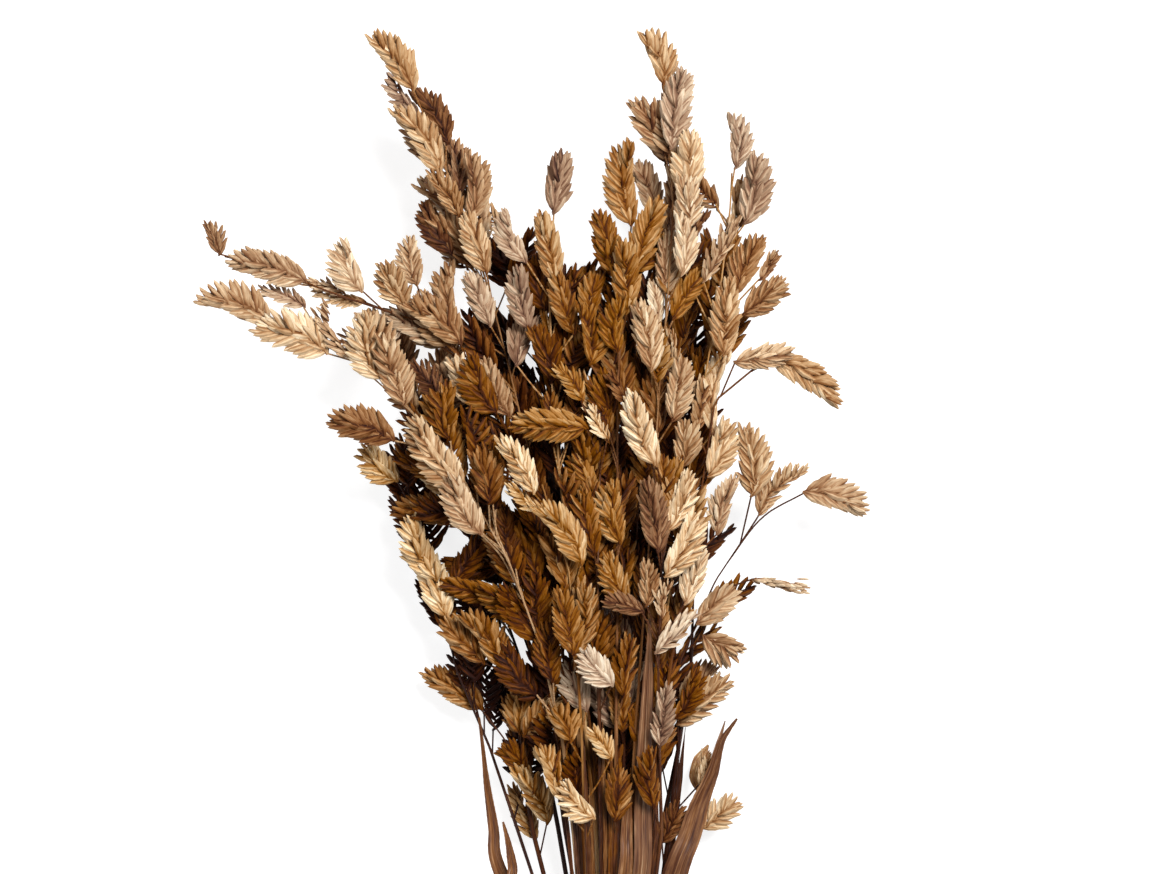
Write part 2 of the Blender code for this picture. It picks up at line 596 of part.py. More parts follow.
def leaf_loft(points, blade, spare):
    """Thin culm along the points that opens into a creased blade."""
    widths = [None] * (len(points) - len(blade)) + [w for x, y, w in blade]
    verts = []
    faces = []
    sections = []
    for k, point in enumerate(points):
        ahead = (points[min(k + 1, len(points) - 1)] - points[max(k - 1, 0)]).normalized()
        normal = (Vector((0.0, 0.0, 1.0)) - ahead * ahead.z).normalized()
        side = ahead.cross(normal)
        sections.append((point, side, normal, widths[k]))
    for point, side, normal, width in sections:
        if width is None:
            radius = LEAF_CULM_RADIUS + spare
            for turn in (150, 90, 30, -30, -90, -150):
                angle = math.radians(turn)
                verts.append(point + side * (math.cos(angle) * radius)
                             + normal * (math.sin(angle) * radius))
            continue
        half = width * 0.5 + spare
        fold = width * LEAF_FOLD
        for across, up in ((-1, 1), (0, 1), (1, 1), (1, -1), (0, -1), (-1, -1)):
            thick = LEAF_THICK if across == 0 else LEAF_EDGE
            lift = up * (thick + spare) + (fold if across else 0.0)
            verts.append(point + side * (across * half) + normal * lift)
    count = 6
    for k in range(len(sections) - 1):
        for i in range(count):
            a = k * count + i
            b = k * count + (i + 1) % count
            faces.append((a, b, b + count))
            faces.append((a, b + count, a + count))
    last = (len(sections) - 1) * count
    for i in range(1, count - 1):
        faces.append((0, i + 1, i))
        faces.append((last, last + i, last + i + 1))
    return verts, faces


def add_mesh(name, verts, faces):
    """Closed object in metres from corner points in millimetres."""
    work = bmesh.new()
    corners = [work.verts.new(v * MM) for v in verts]
    for face in faces:
        work.faces.new([corners[i] for i in face])
    bmesh.ops.recalc_face_normals(work, faces=work.faces)
    mesh = bpy.data.meshes.new(name)
    work.to_mesh(mesh)
    work.free()
    obj = bpy.data.objects.new(name, mesh)
    bpy.context.scene.collection.objects.link(obj)
    return obj


def material(name, color, roughness):
    made = bpy.data.materials.new(name)
    made.use_nodes = True
    shader = made.node_tree.nodes["Principled BSDF"]
    shader.inputs["Base Color"].default_value = (*color, 1.0)
    shader.inputs["Roughness"].default_value = roughness
    shader.inputs["Metallic"].default_value = 0.0
    return made


def finish_node(obj, made):
    """Plain triangles facing out, one material, held by the bundle's empty."""
    work = bmesh.new()
    work.from_mesh(obj.data)
    bmesh.ops.triangulate(work, faces=work.faces)
    bmesh.ops.recalc_face_normals(work, faces=work.faces)
    work.to_mesh(obj.data)
    work.free()
    obj.data.shade_smooth()
    obj.data.set_sharp_from_angle(angle=SHARP_ANGLE)
    obj.data.materials.clear()
    obj.data.materials.append(made)
    obj.parent = bundle


def fuse(target, helpers):
    """One union of the target with all helpers, which are then removed."""
    group = bpy.data.collections.new("helpers of " + target.name)
    bpy.context.scene.collection.children.link(group)
    for helper in helpers:
        for holder in list(helper.users_collection):
            holder.objects.unlink(helper)
        group.objects.link(helper)
    union = target.modifiers.new("union", "BOOLEAN")
    union.operation = "UNION"
    union.operand_type = "COLLECTION"
    union.collection = group
    union.solver = "EXACT"
    bpy.context.view_layer.update()
    graph = bpy.context.evaluated_depsgraph_get()
    joined = bpy.data.meshes.new_from_object(target.evaluated_get(graph))
    target.modifiers.clear()
    target.data = joined
    joined.name = target.name
    for helper in helpers:
        bpy.data.objects.remove(helper)
    bpy.data.collections.remove(group)


for old in list(bpy.data.objects):
    bpy.data.objects.remove(old)
bundle = bpy.data.objects.new("bundle", None)
bpy.context.scene.collection.objects.link(bundle)

# Culms of every stem first, so that the spikelets can be set clear of them
placed = []
stems = []
for name, row, slot_x, rise, marks, specs in STEMS:
    stems.append((name, row, slot_x, rise, marks, list(specs)))
for name, row, slot_x, rise, marks in UNDER_STEMS:
    stems.append((name, row, slot_x, rise, marks, None))
culms = {}
for name, row, slot_x, rise, marks, specs in stems:
    cut_y = CUT_Y - rng.uniform(0.0, CUT_UNEVEN)
    along, path, radii = culm_parts(stem_route(row, slot_x, rise, marks, cut_y))
    culms[name] = (along, path, radii)
    shell = tube(path, [r + SPARE for r in radii], CULM_SIDES)
    placed.append((name, tree_of(*shell)))
leaf_routes = {}
for name, row, slot_x, blade in LEAVES:
    marks = [(x, y) for x, y, w in blade]
    leaf_routes[name] = stem_route(row, slot_x, 0.0, marks, LEAF_CUT_Y)
    placed.append((name, tree_of(*leaf_loft(leaf_routes[name], blade, SPARE))))
knot_x = rng.uniform(*KNOT_X)

# Spikelets: the two that carry the head first, then the hand-set ones, then the rest
heads = {name: [] for name, row, slot_x, rise, marks, specs in stems}
attached = {name: [] for name in heads}
for name, spec in REST_SPIKELETS:
    heads[name].append(place_spikelet(name, culms[name][0], spec, placed,
                                      attached[name], True))
for name, row, slot_x, rise, marks, specs in stems:
    for spec in specs if specs is not None else ():
        heads[name].append(place_spikelet(name, culms[name][0], spec, placed,
                                          attached[name], False))
for name, row, slot_x, rise, marks, specs in stems:
    if specs is None:
        for spec in under_specs(name, culms[name][0]):
            heads[name].append(place_spikelet(name, culms[name][0], spec, placed,
                                              attached[name], False))

for name, row, slot_x, rise, marks, specs in stems:
    along, path, radii = culms[name]
    stem = add_mesh(name, *tube(path, radii, CULM_SIDES))
    helpers = []
    for found in heads[name]:
        if found is None:
            continue
        stalk, base, tip, angle, width, stations = found
        axis, side, normal = spikelet_axes(base, tip, angle)
        rings, point = spikelet_rings(base, tip, angle, width, stations, 0.0)
        rings = pedicel_rings(stalk, side, normal, 0.0) + rings
        helpers.append(add_mesh("spikelet", *loft_rings(rings, point)))
    fuse(stem, helpers)
    finish_node(stem, material(name, STEM_TONES.get(name, BROWN), DRY_ROUGHNESS))
for name, row, slot_x, blade in LEAVES:
    leaf = add_mesh(name, *leaf_loft(leaf_routes[name], blade, 0.0))
    finish_node(leaf, material(name, LEAF_BROWN, DRY_ROUGHNESS))

# Twine tie: turns side by side, flat where it lies on the table, knotted on top
profile = []
for turn in range(TURNS):
    start_y = (turn - TURNS / 2) * TURN_WIDTH
    profile.append((start_y, TIE_OUTER - TURN_DEPTH))
    profile.append((start_y + TURN_WIDTH * TURN_CROWN[0], TIE_OUTER))
    profile.append((start_y + TURN_WIDTH * TURN_CROWN[1], TIE_OUTER))
profile.append((TURNS / 2 * TURN_WIDTH, TIE_OUTER - TURN_DEPTH))
profile.append((TURNS / 2 * TURN_WIDTH - TURN_INSET, TIE_INNER))
profile.append((-TURNS / 2 * TURN_WIDTH + TURN_INSET, TIE_INNER))
angles = []
for k in range(TIE_STEPS + 1):
    share = k / TIE_STEPS
    angles.append(-math.pi / 2 + FLAT_HALF_ANGLE + share * (2 * math.pi - 2 * FLAT_HALF_ANGLE))
verts = []
faces = []
for angle in angles:
    for y, radius in profile:
        verts.append(Vector((math.cos(angle) * radius, y, TIE_Z + math.sin(angle) * radius)))
size = len(profile)
for k in range(len(angles)):
    after = (k + 1) % len(angles)
    for i in range(size):
        j = (i + 1) % size
        faces.append((k * size + i, after * size + i, after * size + j))
        faces.append((k * size + i, after * size + j, k * size + j))
tie = add_mesh("tie", verts, faces)
bpy.ops.mesh.primitive_ico_sphere_add(subdivisions=2, radius=MM)
knot = bpy.context.object
knot.data.transform(Matrix.Diagonal((*KNOT_SIZE, 1.0)))
knot.data.transform(Matrix.Translation((knot_x * MM, 0.0, (TIE_Z + TIE_OUTER) * MM)))
fuse(tie, [knot])
finish_node(tie, material("tie", JUTE, TWINE_ROUGHNESS))
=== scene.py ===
# Looks of the bundle of dried northern sea oats: husks, culms, leaves and twine
import math
import random

import bmesh
import bpy
from mathutils import Matrix, Vector
from mathutils.bvhtree import BVHTree


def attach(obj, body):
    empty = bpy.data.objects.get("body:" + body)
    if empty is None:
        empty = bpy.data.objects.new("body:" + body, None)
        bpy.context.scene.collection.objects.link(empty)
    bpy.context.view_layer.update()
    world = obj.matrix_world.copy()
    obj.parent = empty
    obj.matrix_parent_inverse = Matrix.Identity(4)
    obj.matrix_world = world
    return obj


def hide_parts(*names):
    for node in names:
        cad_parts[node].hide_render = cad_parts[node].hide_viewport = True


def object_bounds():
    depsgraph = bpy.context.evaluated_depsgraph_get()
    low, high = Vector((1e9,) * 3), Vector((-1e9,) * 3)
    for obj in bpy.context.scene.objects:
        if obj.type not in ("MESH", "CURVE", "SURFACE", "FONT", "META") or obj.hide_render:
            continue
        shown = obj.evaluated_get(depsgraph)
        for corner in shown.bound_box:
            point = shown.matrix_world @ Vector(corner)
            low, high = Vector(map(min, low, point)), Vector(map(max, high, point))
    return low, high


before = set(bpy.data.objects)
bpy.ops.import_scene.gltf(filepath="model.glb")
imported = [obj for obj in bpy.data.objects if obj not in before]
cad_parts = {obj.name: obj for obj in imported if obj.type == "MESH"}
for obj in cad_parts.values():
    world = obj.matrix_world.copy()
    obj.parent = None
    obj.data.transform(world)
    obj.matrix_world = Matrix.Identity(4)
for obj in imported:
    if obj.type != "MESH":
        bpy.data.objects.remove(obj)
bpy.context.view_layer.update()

MM = 0.001
rng = random.Random(4437)

# Tie and the packing of the stems through it
TIE_OUTER = 13.6
TIE_INNER = 11.5
FLAT_HALF_ANGLE = math.radians(20.0)
TIE_Z = TIE_OUTER * math.cos(FLAT_HALF_ANGLE)
TIE_STEPS = 15
TURNS = 5
TURN_WIDTH = 2.0
TURN_DEPTH = 0.7
TURN_CROWN = (0.27, 0.73)
TURN_INSET = 0.5
KNOT_SIZE = (3.6, 2.8, 2.0)
KNOT_X = (2.0, 4.0)
CUT_Y = -188.0
CUT_UNEVEN = 9.0
CUT_SPREAD = 1.5
CUT_Z = 15.6
BACK_Y = -62.0
BACK_SPREAD = 1.1
BACK_RAISED = 0.6
STRAIGHT_HALF = 8.0
FRONT_Y = 40.0
FRONT_SHARE = 0.4
LOW_Y = 80.0
HEAD_Y = 210.0
ROW_SLOT_Z = (8.0, 4.9, 1.8, -1.8, -4.9, -8.0)
ROW_LOW_Z = (41.0, 35.5, 29.5, 22.5, 16.5, 10.5)
ROW_HEAD_Z = (64.0, 56.0, 47.0, 37.0, 27.0, 17.0)

# Culm: slender towards the tip, swollen at one knot, a little wavy among the heads
CULM_RADIUS = 1.35
RACHIS_RADIUS = 0.75
CULM_SIDES = 5
CULM_SPAN = 34.0
ROUTE_STEPS = 12
CULM_LAST_SPAN = 12.0
CULM_FIXED_Y = (-8.0, 8.0, 34.0, 62.0)
TAPER_FROM_Y = 96.0
TAPER_OVER = 160.0
KNOT_FROM_Y = -140.0
KNOT_TO_Y = -90.0
KNOT_HALF = 2.2
KNOT_SWELL = 1.38
WAVE = 2.4
WAVE_FROM_Y = 110.0
WAVE_GROWS_OVER = 60.0
WAVE_STEP = 26.0

# Stalk from the rachis to a spikelet
PEDICEL_RADIUS = 0.5
SHORT_STALK = 21.0
STALK_BEND = 0.38
STALK_GAP = 5.0
STALK_GAP_SHARE = 0.7
STALK_ROOT = 1.0
ATTACH_STEP = 3.0
ATTACH_GAP = 2.5

# Spikelet: a flat blade whose edges step out in floret teeth, left and right in turn
THICK_SHARE = 0.30
WIDTH_GAIN = 1.1
STATIONS = 5
LONG_STATIONS = 6
LONG_SPIKELET = 31.0
TOOTH_IN = 0.66
TOOTH_AHEAD = 0.85
TOOTH_FACE = 0.78
TOOTH_WIDTH_AT = 0.4
FULL_LENGTH_TO_WIDTH = 27.0 / 14.3
PITCH_SPREAD = 13.0
PITCH_SHARE = 0.35
PITCH_UP_CHANCE = 0.6
ROLL_SPREAD = 12.0

# Room kept free between pieces, and the changes tried to find it
SPARE = 0.35
SHRINKS = (1.0, 0.86)
RISE_STEP = 1.8
RISE_STEPS = 12
ROLL_STEP = 16.0
NOD_STEP = 9.0
ROLL_COST = 1.3
NOD_COST = 1.2

# Half width and half thickness of a spikelet along its length
WIDTH_AT = ((0.0, 0.2), (0.16, 0.74), (0.32, 1.0), (0.62, 1.0), (0.86, 0.7), (1.0, 0.3))
THICK_AT = ((0.0, 0.3), (0.17, 0.9), (0.4, 1.0), (0.75, 0.8), (1.0, 0.3))

# Each stem: name, row (0 on top), place in the row, route from the low mark,
# rise at the tip, and its spikelets: base x y, tip x y, width, lift, roll
STEMS = (
    ("stem_front_left", 0, -5.4, 0.0,
     ((-7, 80), (-9, 130), (-11, 165), (-14, 200), (-21, 224), (-25, 236)),
     ((-9, 204, -24.7, 233, 13, 8, 0), (-12, 167, -5.3, 200, 13, 5, 8),
      (-12.5, 168, -18, 197, 12, 8, -10), (-7, 145, -16.3, 166, 13, 5, 0),
      (-26.5, 225, -40, 237, 8, 4, 45), (-28, 232, -40.5, 257.5, 11, 7, 10),
      (-3.7, 102.6, -19.5, 116.6, 11, 8, 0), (2.6, 125.9, -5.7, 140.6, 9, 7, 20),
      (-18.3, 108.9, -24.5, 134, 12, 1, 25), (-13.4, 133, -20, 149, 12, 4, 0))),
    ("stem_front_right", 0, 5.4, 0.0,
     ((22, 80), (21.5, 130), (21, 165), (21, 190), (24, 215), (25, 240)),
     ((23.2, 199.2, 39.2, 225.8, 13, 7, 0), (24.7, 217.6, 35.3, 242, 12, 4, 15),
      (20.5, 243, 6.5, 273, 13.5, 9, 0), (9.5, 267, 0, 281.5, 8, 5, 35),
      (16, 187.5, 18, 207, 10, 5, 0), (15.5, 185, -1.2, 191.4, 10, 2, 0),
      (19.3, 169, 36, 187.5, 11, 4, 35),
      (20.9, 208.9, 17, 240, 13, 4, 0), (31.5, 188, 38.5, 212.5, 12, 1, 0),
      (21.3, 131.5, 25.3, 158, 10, 7, 0), (22.3, 183, 23, 199.5, 7, 8, 50))),
    ("stem_left_long", 1, -7.2, 4.0,
     ((-11, 80), (-20, 150), (-38, 205), (-58, 240), (-76, 264), (-88, 278),
      (-100, 286), (-111, 290), (-130, 299)),
     ((-133, 299.5, -161.5, 314.5, 14, 1, 0), (-109.5, 287.5, -138.5, 303.5, 15, 4, 0),
      (-119, 306, -139, 315.5, 9, -4, 30), (-98, 285, -117.5, 306, 7, 2, 70),
      (-88, 277, -100.5, 304, 13, 4, 0), (-79, 267, -90, 297, 13, 7, -10),
      (-64.8, 269, -79, 286.5, 10, -5, 30), (-56, 234.6, -80, 262, 13.5, 6, 0),
      (-83.2, 253, -110.4, 264.6, 14, 2, 0), (-48.5, 216, -65, 240, 13.5, 7, 0))),
    ("stem_centre_front", 1, -3.6, 0.0,
     ((-1, 80), (-2.5, 150), (-3, 200), (-2, 240), (-2, 258)),
     ((-9, 268, -19.5, 285.5, 9, 5, 15), (-3.5, 260, -10, 282.5, 9, 3, 40),
      (1.4, 253.5, -8, 268, 7, 7, 40), (-6.6, 258.3, -38.5, 261, 13, 9, 0),
      (6.3, 212, -0.6, 238, 12, 4, 0), (-6, 213, -5.5, 240, 12, 1, 0),
      (8.8, 189, -1.5, 208.5, 12, 4, 0),
      (-3, 232, -14, 249.5, 12, -2, 0), (3.3, 156, -10.5, 170.5, 12.5, 14, 0))),
    ("stem_top_centre", 1, 0.0, 3.0,
     ((4, 80), (4.5, 150), (5, 220), (5, 280), (8, 315), (10, 334)),
     ((10.5, 338, 5, 373.5, 14, 2, 0), (10.5, 319, 22, 350.5, 14, 3, 0),
      (8.5, 303, 8.5, 335, 13, 7, 0), (-5.5, 302, -4.5, 322, 12, 0, 0),
      (2.5, 319, -1.5, 346, 12, 1, 0), (5, 288, 4, 312, 12, 6, 0),
      (-6, 283, -6, 309.5, 12, 3, 0), (8, 268, 0, 297, 13, 1, 0))),
    ("stem_top_right", 1, 3.6, 6.0,
     ((9, 80), (13, 150), (18, 220), (22, 280), (26, 325), (27, 362), (25, 380),
      (23.5, 392)),
     ((23, 393, 18, 417, 14, 2, 0), (26, 368, 30, 401.5, 14, 3, 0),
      (24, 366, 12, 390, 14, 0, 0), (32.5, 348, 34, 377, 14, 2, 0),
      (31, 336, 33.5, 359, 12, 4, 0), (30, 318, 31.5, 345, 12, 5, 10),
      (24, 311, 24.5, 338.5, 11, 2, 0), (18.5, 280.5, 14, 310, 12.5, 7, 0),
      (20.8, 299, 19.3, 318, 9, -2, 30), (26.6, 260.5, 31.6, 287.5, 12, 6, 0),
      (27, 277, 25, 300, 8, -3, 55))),
    ("stem_right", 1, 7.2, 0.0,
     ((16, 80), (24, 150), (34, 210), (41, 250), (45, 276), (51, 284), (64, 286)),
     ((50.5, 284.5, 76, 288.5, 12, 4, 15), (66, 286, 96.5, 270.5, 13.5, 0, 0),
      (40.7, 238.5, 50.5, 262.5, 13, 4, 0), (30.5, 242.5, 34, 262.5, 13, 0, 0),
      (44.5, 215.5, 49, 241, 11, 1, 20), (36, 257, 38.5, 280, 10, -4, 30))),
    ("stem_left_arch", 2, -5.4, 8.0,
     ((-8, 80), (-14, 150), (-27, 220), (-44, 270), (-58, 291), (-78, 303),
      (-96, 309), (-119, 314), (-140, 324), (-151, 326.5)),
     ((-153, 326.5, -156.5, 341, 9, 2, 0), (-118, 316, -150.5, 328, 13, 2, 0),
      (-103, 311, -121, 318.5, 8, -3, 40), (-95, 308.5, -119.5, 312.5, 8, 0, 55),
      (-96, 312, -107.5, 333, 13.5, 3, 0), (-79, 306, -89.5, 324.5, 12.5, 3, 0),
      (-74.5, 314.5, -80.5, 335, 11, 1, 0), (-57, 291, -79, 312, 13, 5, 0),
      (-76, 301.5, -100.5, 299.5, 12, -4, 0), (-54, 266.5, -58.5, 289, 12, 7, 0),
      (-37.6, 262.5, -51.5, 286.5, 12, 4, 0))),
    ("stem_upper_left", 2, -1.8, 4.0,
     ((-2, 80), (-8, 140), (-14, 200), (-19, 250), (-22, 290), (-22, 316), (-21, 336)),
     ((-31, 324, -45, 344.5, 12, 2, 0), (-30.5, 297, -36, 324.5, 12, 3, 0),
      (-19.5, 315, -25, 345.5, 13, 4, 0), (-20.5, 343, -17, 370, 14, 2, 0),
      (-12, 295, -21, 321, 12, 3, 0), (-35.5, 282.5, -29, 305, 13, 0, 0))),
    ("stem_inner_right", 2, 1.8, 0.0,
     ((7, 80), (7.5, 130), (8, 160), (8, 185)),
     ((5, 137, -5, 157, 12, 2, 0), (6.5, 136, 5, 158, 11, 4, 30),
      (9.5, 157, 5, 184, 12, 1, 0), (10.8, 147.5, 14.2, 174, 11, 6, 0))),
    ("stem_upper_right", 2, 5.4, 4.0,
     ((12, 80), (20, 150), (30, 220), (40, 280), (47, 320), (50, 348), (50.5, 360)),
     ((51.5, 361, 54, 385, 11.5, 2, 0), (55.5, 339, 63, 368, 14.5, 4, 0),
      (48, 330, 57, 360, 8, 1, 60), (38.5, 316, 53.5, 343.5, 10, 3, 40),
      (52, 311, 61, 336.5, 14, 1, 0), (54.5, 303, 72.5, 317, 13, 4, 0),
      (47, 286.5, 49, 319.5, 13, 5, 0), (31, 321, 37.5, 347.5, 11, -2, 0),
      (42.6, 255.5, 44, 291.5, 9, 5, 30), (61, 317, 69.5, 329.5, 8, -3, 30))),
    ("stem_left_low", 3, -5.4, 0.0,
     ((-10, 80), (-14, 115), (-22, 150), (-31, 175), (-39, 192)),
     ((-48, 163.5, -66.5, 182, 13, 3, 0), (-42, 161.5, -55, 188, 13, 6, 0),
      (-26.6, 197, -49.5, 216, 13, 6, 0), (-24, 179.5, -53, 195.5, 14, 6, 0),
      (-34.5, 219, -50.5, 234.5, 9, 2, 30), (-45, 189.5, -67, 197, 11, -3, 0))),
    ("stem_far_left", 3, -1.8, 10.0,
     ((-3, 80), (-10, 140), (-20, 200), (-33, 260), (-43, 300), (-49, 325), (-58, 348),
      (-66, 368), (-76, 392)),
     ((-76, 392, -91, 418, 14, 3, 0), (-74, 383, -89.5, 399, 10, -4, 25),
      (-66, 359, -80.5, 389.5, 13, 6, 0), (-63, 371, -75, 397.5, 12, 0, 0),
      (-60, 344, -60, 374.5, 10, -3, 40), (-58, 342, -69, 362.5, 10, 2, 0),
      (-54, 341, -50, 370.5, 13, 3, 0), (-47, 319.5, -55.5, 345.5, 13, 6, 0),
      (-61, 327.5, -74.5, 349.5, 13, -2, 0), (-61, 301, -65, 326.5, 13, 0, 0),
      (-45.5, 298.5, -55.5, 321.5, 12, 3, 0))),
    ("stem_right_branch", 3, 5.4, 0.0,
     ((18, 80), (22, 120), (29, 160), (37, 188), (45, 198), (54, 211), (61, 222)),
     ((58.6, 230.5, 59.6, 261, 14, 4, 0), (61.5, 223, 78.5, 247, 10, 0, 20),
      (79, 232.6, 107, 228, 14, 2, 0), (36.3, 179.5, 53, 196, 13.5, 7, 0),
      (58.6, 198.2, 83, 192.9, 7.5, 2, 65), (39, 175.5, 55, 167, 14, 2, 0))),
    ("stem_low_right", 3, 9.0, 0.0,
     ((25, 80), (26, 105), (28.5, 125), (30.5, 138)),
     ((28.5, 139, 50.5, 160, 12.5, 5, 0), (22.5, 91, 32, 107.5, 11, 5, 0),
      (39.5, 96, 55, 108.5, 12, -4, 0), (37.5, 113.5, 42.5, 129, 8, 2, 40),
      (30, 147, 45, 165, 12, -4, 20))),
    ("stem_left_bright", 4, -7.2, 0.0,
     ((-30, 80), (-40.5, 111), (-47.5, 132), (-53, 147), (-60, 161), (-65.5, 175),
      (-66, 190), (-73, 212), (-80, 229)),
     ((-63.5, 181.5, -73, 209, 14, 8, 0), (-67, 197, -81.5, 223.5, 14, 7, -10),
      (-83, 237, -99, 250, 12.5, 4, 0))),
    ("stem_lower_left", 4, -3.6, 0.0,
     ((-26, 80), (-30, 100), (-34, 120), (-35, 131)),
     ((-49.3, 144, -74.5, 161.5, 12.5, 3, 0), (-34, 134, -30.5, 161.5, 12, 6, 0),
      (-33, 134, -16, 152, 13, 9, 0), (-34.5, 134, -40.5, 151, 9, 1, 20),
      (-32, 119.5, -41, 132.5, 12, 3, 0), (-23, 98, -34.5, 125.5, 13, 6, 0),
      (-28, 90.5, -39, 114.5, 11, 2, 25))),
    ("stem_left_middle", 4, 0.0, 0.0,
     ((-14, 80), (-21, 130), (-34, 180), (-48, 210), (-60, 224)),
     ((-60, 231, -75, 248, 13, 8, 0), (-60, 219.5, -85.5, 229.5, 13.5, 5, 0),
      (-41, 202.5, -67.5, 203, 12, -3, 0))),
)

# Stems of the hidden inside and underside; their spikelets are set by rule
UNDER_STEMS = (
    ("stem_inner_centre", 3, 1.8, 6.0, ((6, 80), (9, 150), (13, 220), (17, 290), (22, 335))),
    ("stem_under_right", 4, 3.6, 4.0, ((12, 80), (22, 150), (34, 220), (42, 278), (50, 310))),
    ("stem_under_far_right", 4, 7.2, 2.0, ((20, 80), (30, 130), (35, 165), (36, 200))),
    ("stem_under_left", 5, -5.4, 3.0, ((-16, 80), (-30, 150), (-50, 210), (-66, 252), (-82, 282))),
    ("stem_under_centre", 5, -1.8, 5.0, ((-2, 80), (-7, 150), (-16, 220), (-27, 290), (-36, 330))),
    ("stem_under_middle", 5, 5.4, 3.0, ((12, 80), (18, 150), (24, 220), (28, 290), (30, 320))),
)
REST_SPIKELETS = (
    ("stem_under_left", (-46, 216, -62, 240, 13, -10, 0)),
    ("stem_under_middle", (36, 200, 50, 222, 13, -10, 0)),
)
UNDER_STEP = 32.0
UNDER_UNEVEN = (0.75, 1.2)
UNDER_FIRST = 3.0
UNDER_LAST_Y = 128.0
UNDER_TURN = (18.0, 44.0)
UNDER_AWAY = (5.0, 9.0)
UNDER_LENGTH = (24.0, 29.0)
UNDER_WIDTH = (11.5, 13.5)
UNDER_LIFT = (-7.0, 5.0)
UNDER_ROLL = (-75.0, 75.0)

# Leaves: name, row, place in the row, route of the blade with its width
LEAVES = (
    ("leaf_centre_short", 0, -1.8,
     ((8, 80, 5), (8.6, 95, 5), (9, 108, 4), (9, 119, 0.8))),
    ("leaf_centre", 0, 1.8,
     ((14.6, 80, 6.6), (15.2, 105, 6.4), (16.2, 135, 6.2), (17, 156, 5.2), (17.5, 172, 3.6),
      (17.8, 183, 0.8))),
    ("leaf_left_short", 2, -9.0,
     ((-36, 72, 4.6), (-37.2, 82, 4.6), (-39, 92, 3.2), (-41, 100, 0.8))),
    ("leaf_right", 2, 9.0,
     ((28.6, 80, 9), (34, 94, 9.6), (38, 107, 8.4), (43.2, 120, 7.8), (45.4, 128.3, 5.2),
      (47.4, 134, 3), (52.9, 142, 0.8))),
    ("leaf_left", 3, -9.0,
     ((-42.5, 80, 6), (-45, 97, 5), (-47.6, 115, 3.6), (-49.2, 130, 1.8), (-50.6, 142, 0.8))),
)
LEAF_THICK = 0.5
LEAF_EDGE = 0.32
LEAF_FOLD = 0.13
LEAF_CULM_RADIUS = 1.2
LEAF_CUT_Y = -190.0


def table_value(table, s):
    for (s0, v0), (s1, v1) in zip(table, table[1:]):
        if s <= s1:
            return v0 + (v1 - v0) * (s - s0) / (s1 - s0)
    return table[-1][1]


def ease(t):
    t = min(1.0, max(0.0, t))
    return t * t * (3.0 - 2.0 * t)


def smooth_route(points, steps):
    """Catmull-Rom curve through the points, with this many steps a span."""
    ends = [points[0] * 2 - points[1]] + list(points) + [points[-1] * 2 - points[-2]]
    out = []
    for i in range(1, len(ends) - 2):
        a, b, c, d = ends[i - 1], ends[i], ends[i + 1], ends[i + 2]
        for k in range(steps):
            t = k / steps
            out.append(0.5 * ((2 * b) + (c - a) * t + (2 * a - 5 * b + 4 * c - d) * t * t
                              + (3 * b - a - 3 * c + d) * t * t * t))
    out.append(points[-1].copy())
    return out


def stem_route(row, slot_x, rise, marks, cut_y):
    """The stem from its cut end through the tie to the tip of its head."""
    slot_z = ROW_SLOT_Z[row]
    low_z = ROW_LOW_Z[row]
    low_x = marks[0][0]
    cut_x = slot_x * CUT_SPREAD
    points = [Vector((cut_x, cut_y, CUT_Z + slot_z * CUT_SPREAD)),
              Vector((slot_x * BACK_SPREAD, BACK_Y,
                      TIE_Z + BACK_RAISED + slot_z * BACK_SPREAD)),
              Vector((slot_x, -STRAIGHT_HALF, TIE_Z + slot_z)),
              Vector((slot_x, STRAIGHT_HALF, TIE_Z + slot_z)),
              Vector((slot_x + (low_x - slot_x) * FRONT_SHARE, FRONT_Y,
                      TIE_Z + slot_z + (low_z - TIE_Z - slot_z) * FRONT_SHARE))]
    last_y = marks[-1][1]
    phase = rng.uniform(0.0, 2.0 * math.pi)
    for x, y in marks:
        z = low_z + (ROW_HEAD_Z[row] - low_z) * ease((y - LOW_Y) / (HEAD_Y - LOW_Y))
        z += rise * max(0.0, (y - HEAD_Y) / max(1.0, last_y - HEAD_Y))
        grown = ease((y - WAVE_FROM_Y) / WAVE_GROWS_OVER)
        z += WAVE * grown * math.sin(phase + y / WAVE_STEP)
        points.append(Vector((x, y, z)))
    return points


def tube(path, radii, sides):
    """Closed faceted tube along a path: vertices and triangles."""
    verts = []
    faces = []
    normal = Vector((0.0, 0.0, 1.0))
    for k, point in enumerate(path):
        ahead = path[min(k + 1, len(path) - 1)] - path[max(k - 1, 0)]
        ahead.normalize()
        normal = (normal - ahead * ahead.dot(normal)).normalized()
        side = ahead.cross(normal)
        for i in range(sides):
            turn = 2 * math.pi * i / sides
            verts.append(point + (side * math.cos(turn) + normal * math.sin(turn)) * radii[k])
    for k in range(len(path) - 1):
        for i in range(sides):
            a = k * sides + i
            b = k * sides + (i + 1) % sides
            faces.append((a, b, b + sides))
            faces.append((a, b + sides, a + sides))
    first = range(sides)
    last = range((len(path) - 1) * sides, len(path) * sides)
    for i in range(1, sides - 1):
        faces.append((first[0], first[i + 1], first[i]))
        faces.append((last[0], last[i], last[i + 1]))
    return verts, faces


def spikelet_axes(base, tip, roll):
    axis = (tip - base).normalized()
    flat = Vector((0.0, 0.0, 1.0)) - axis * axis.z
    if flat.length < 0.1:
        flat = Vector((0.0, 1.0, 0.0)) - axis * axis.y
    flat.normalize()
    side = axis.cross(flat)
    normal = flat * math.cos(roll) + side * math.sin(roll)
    return axis, axis.cross(normal), normal


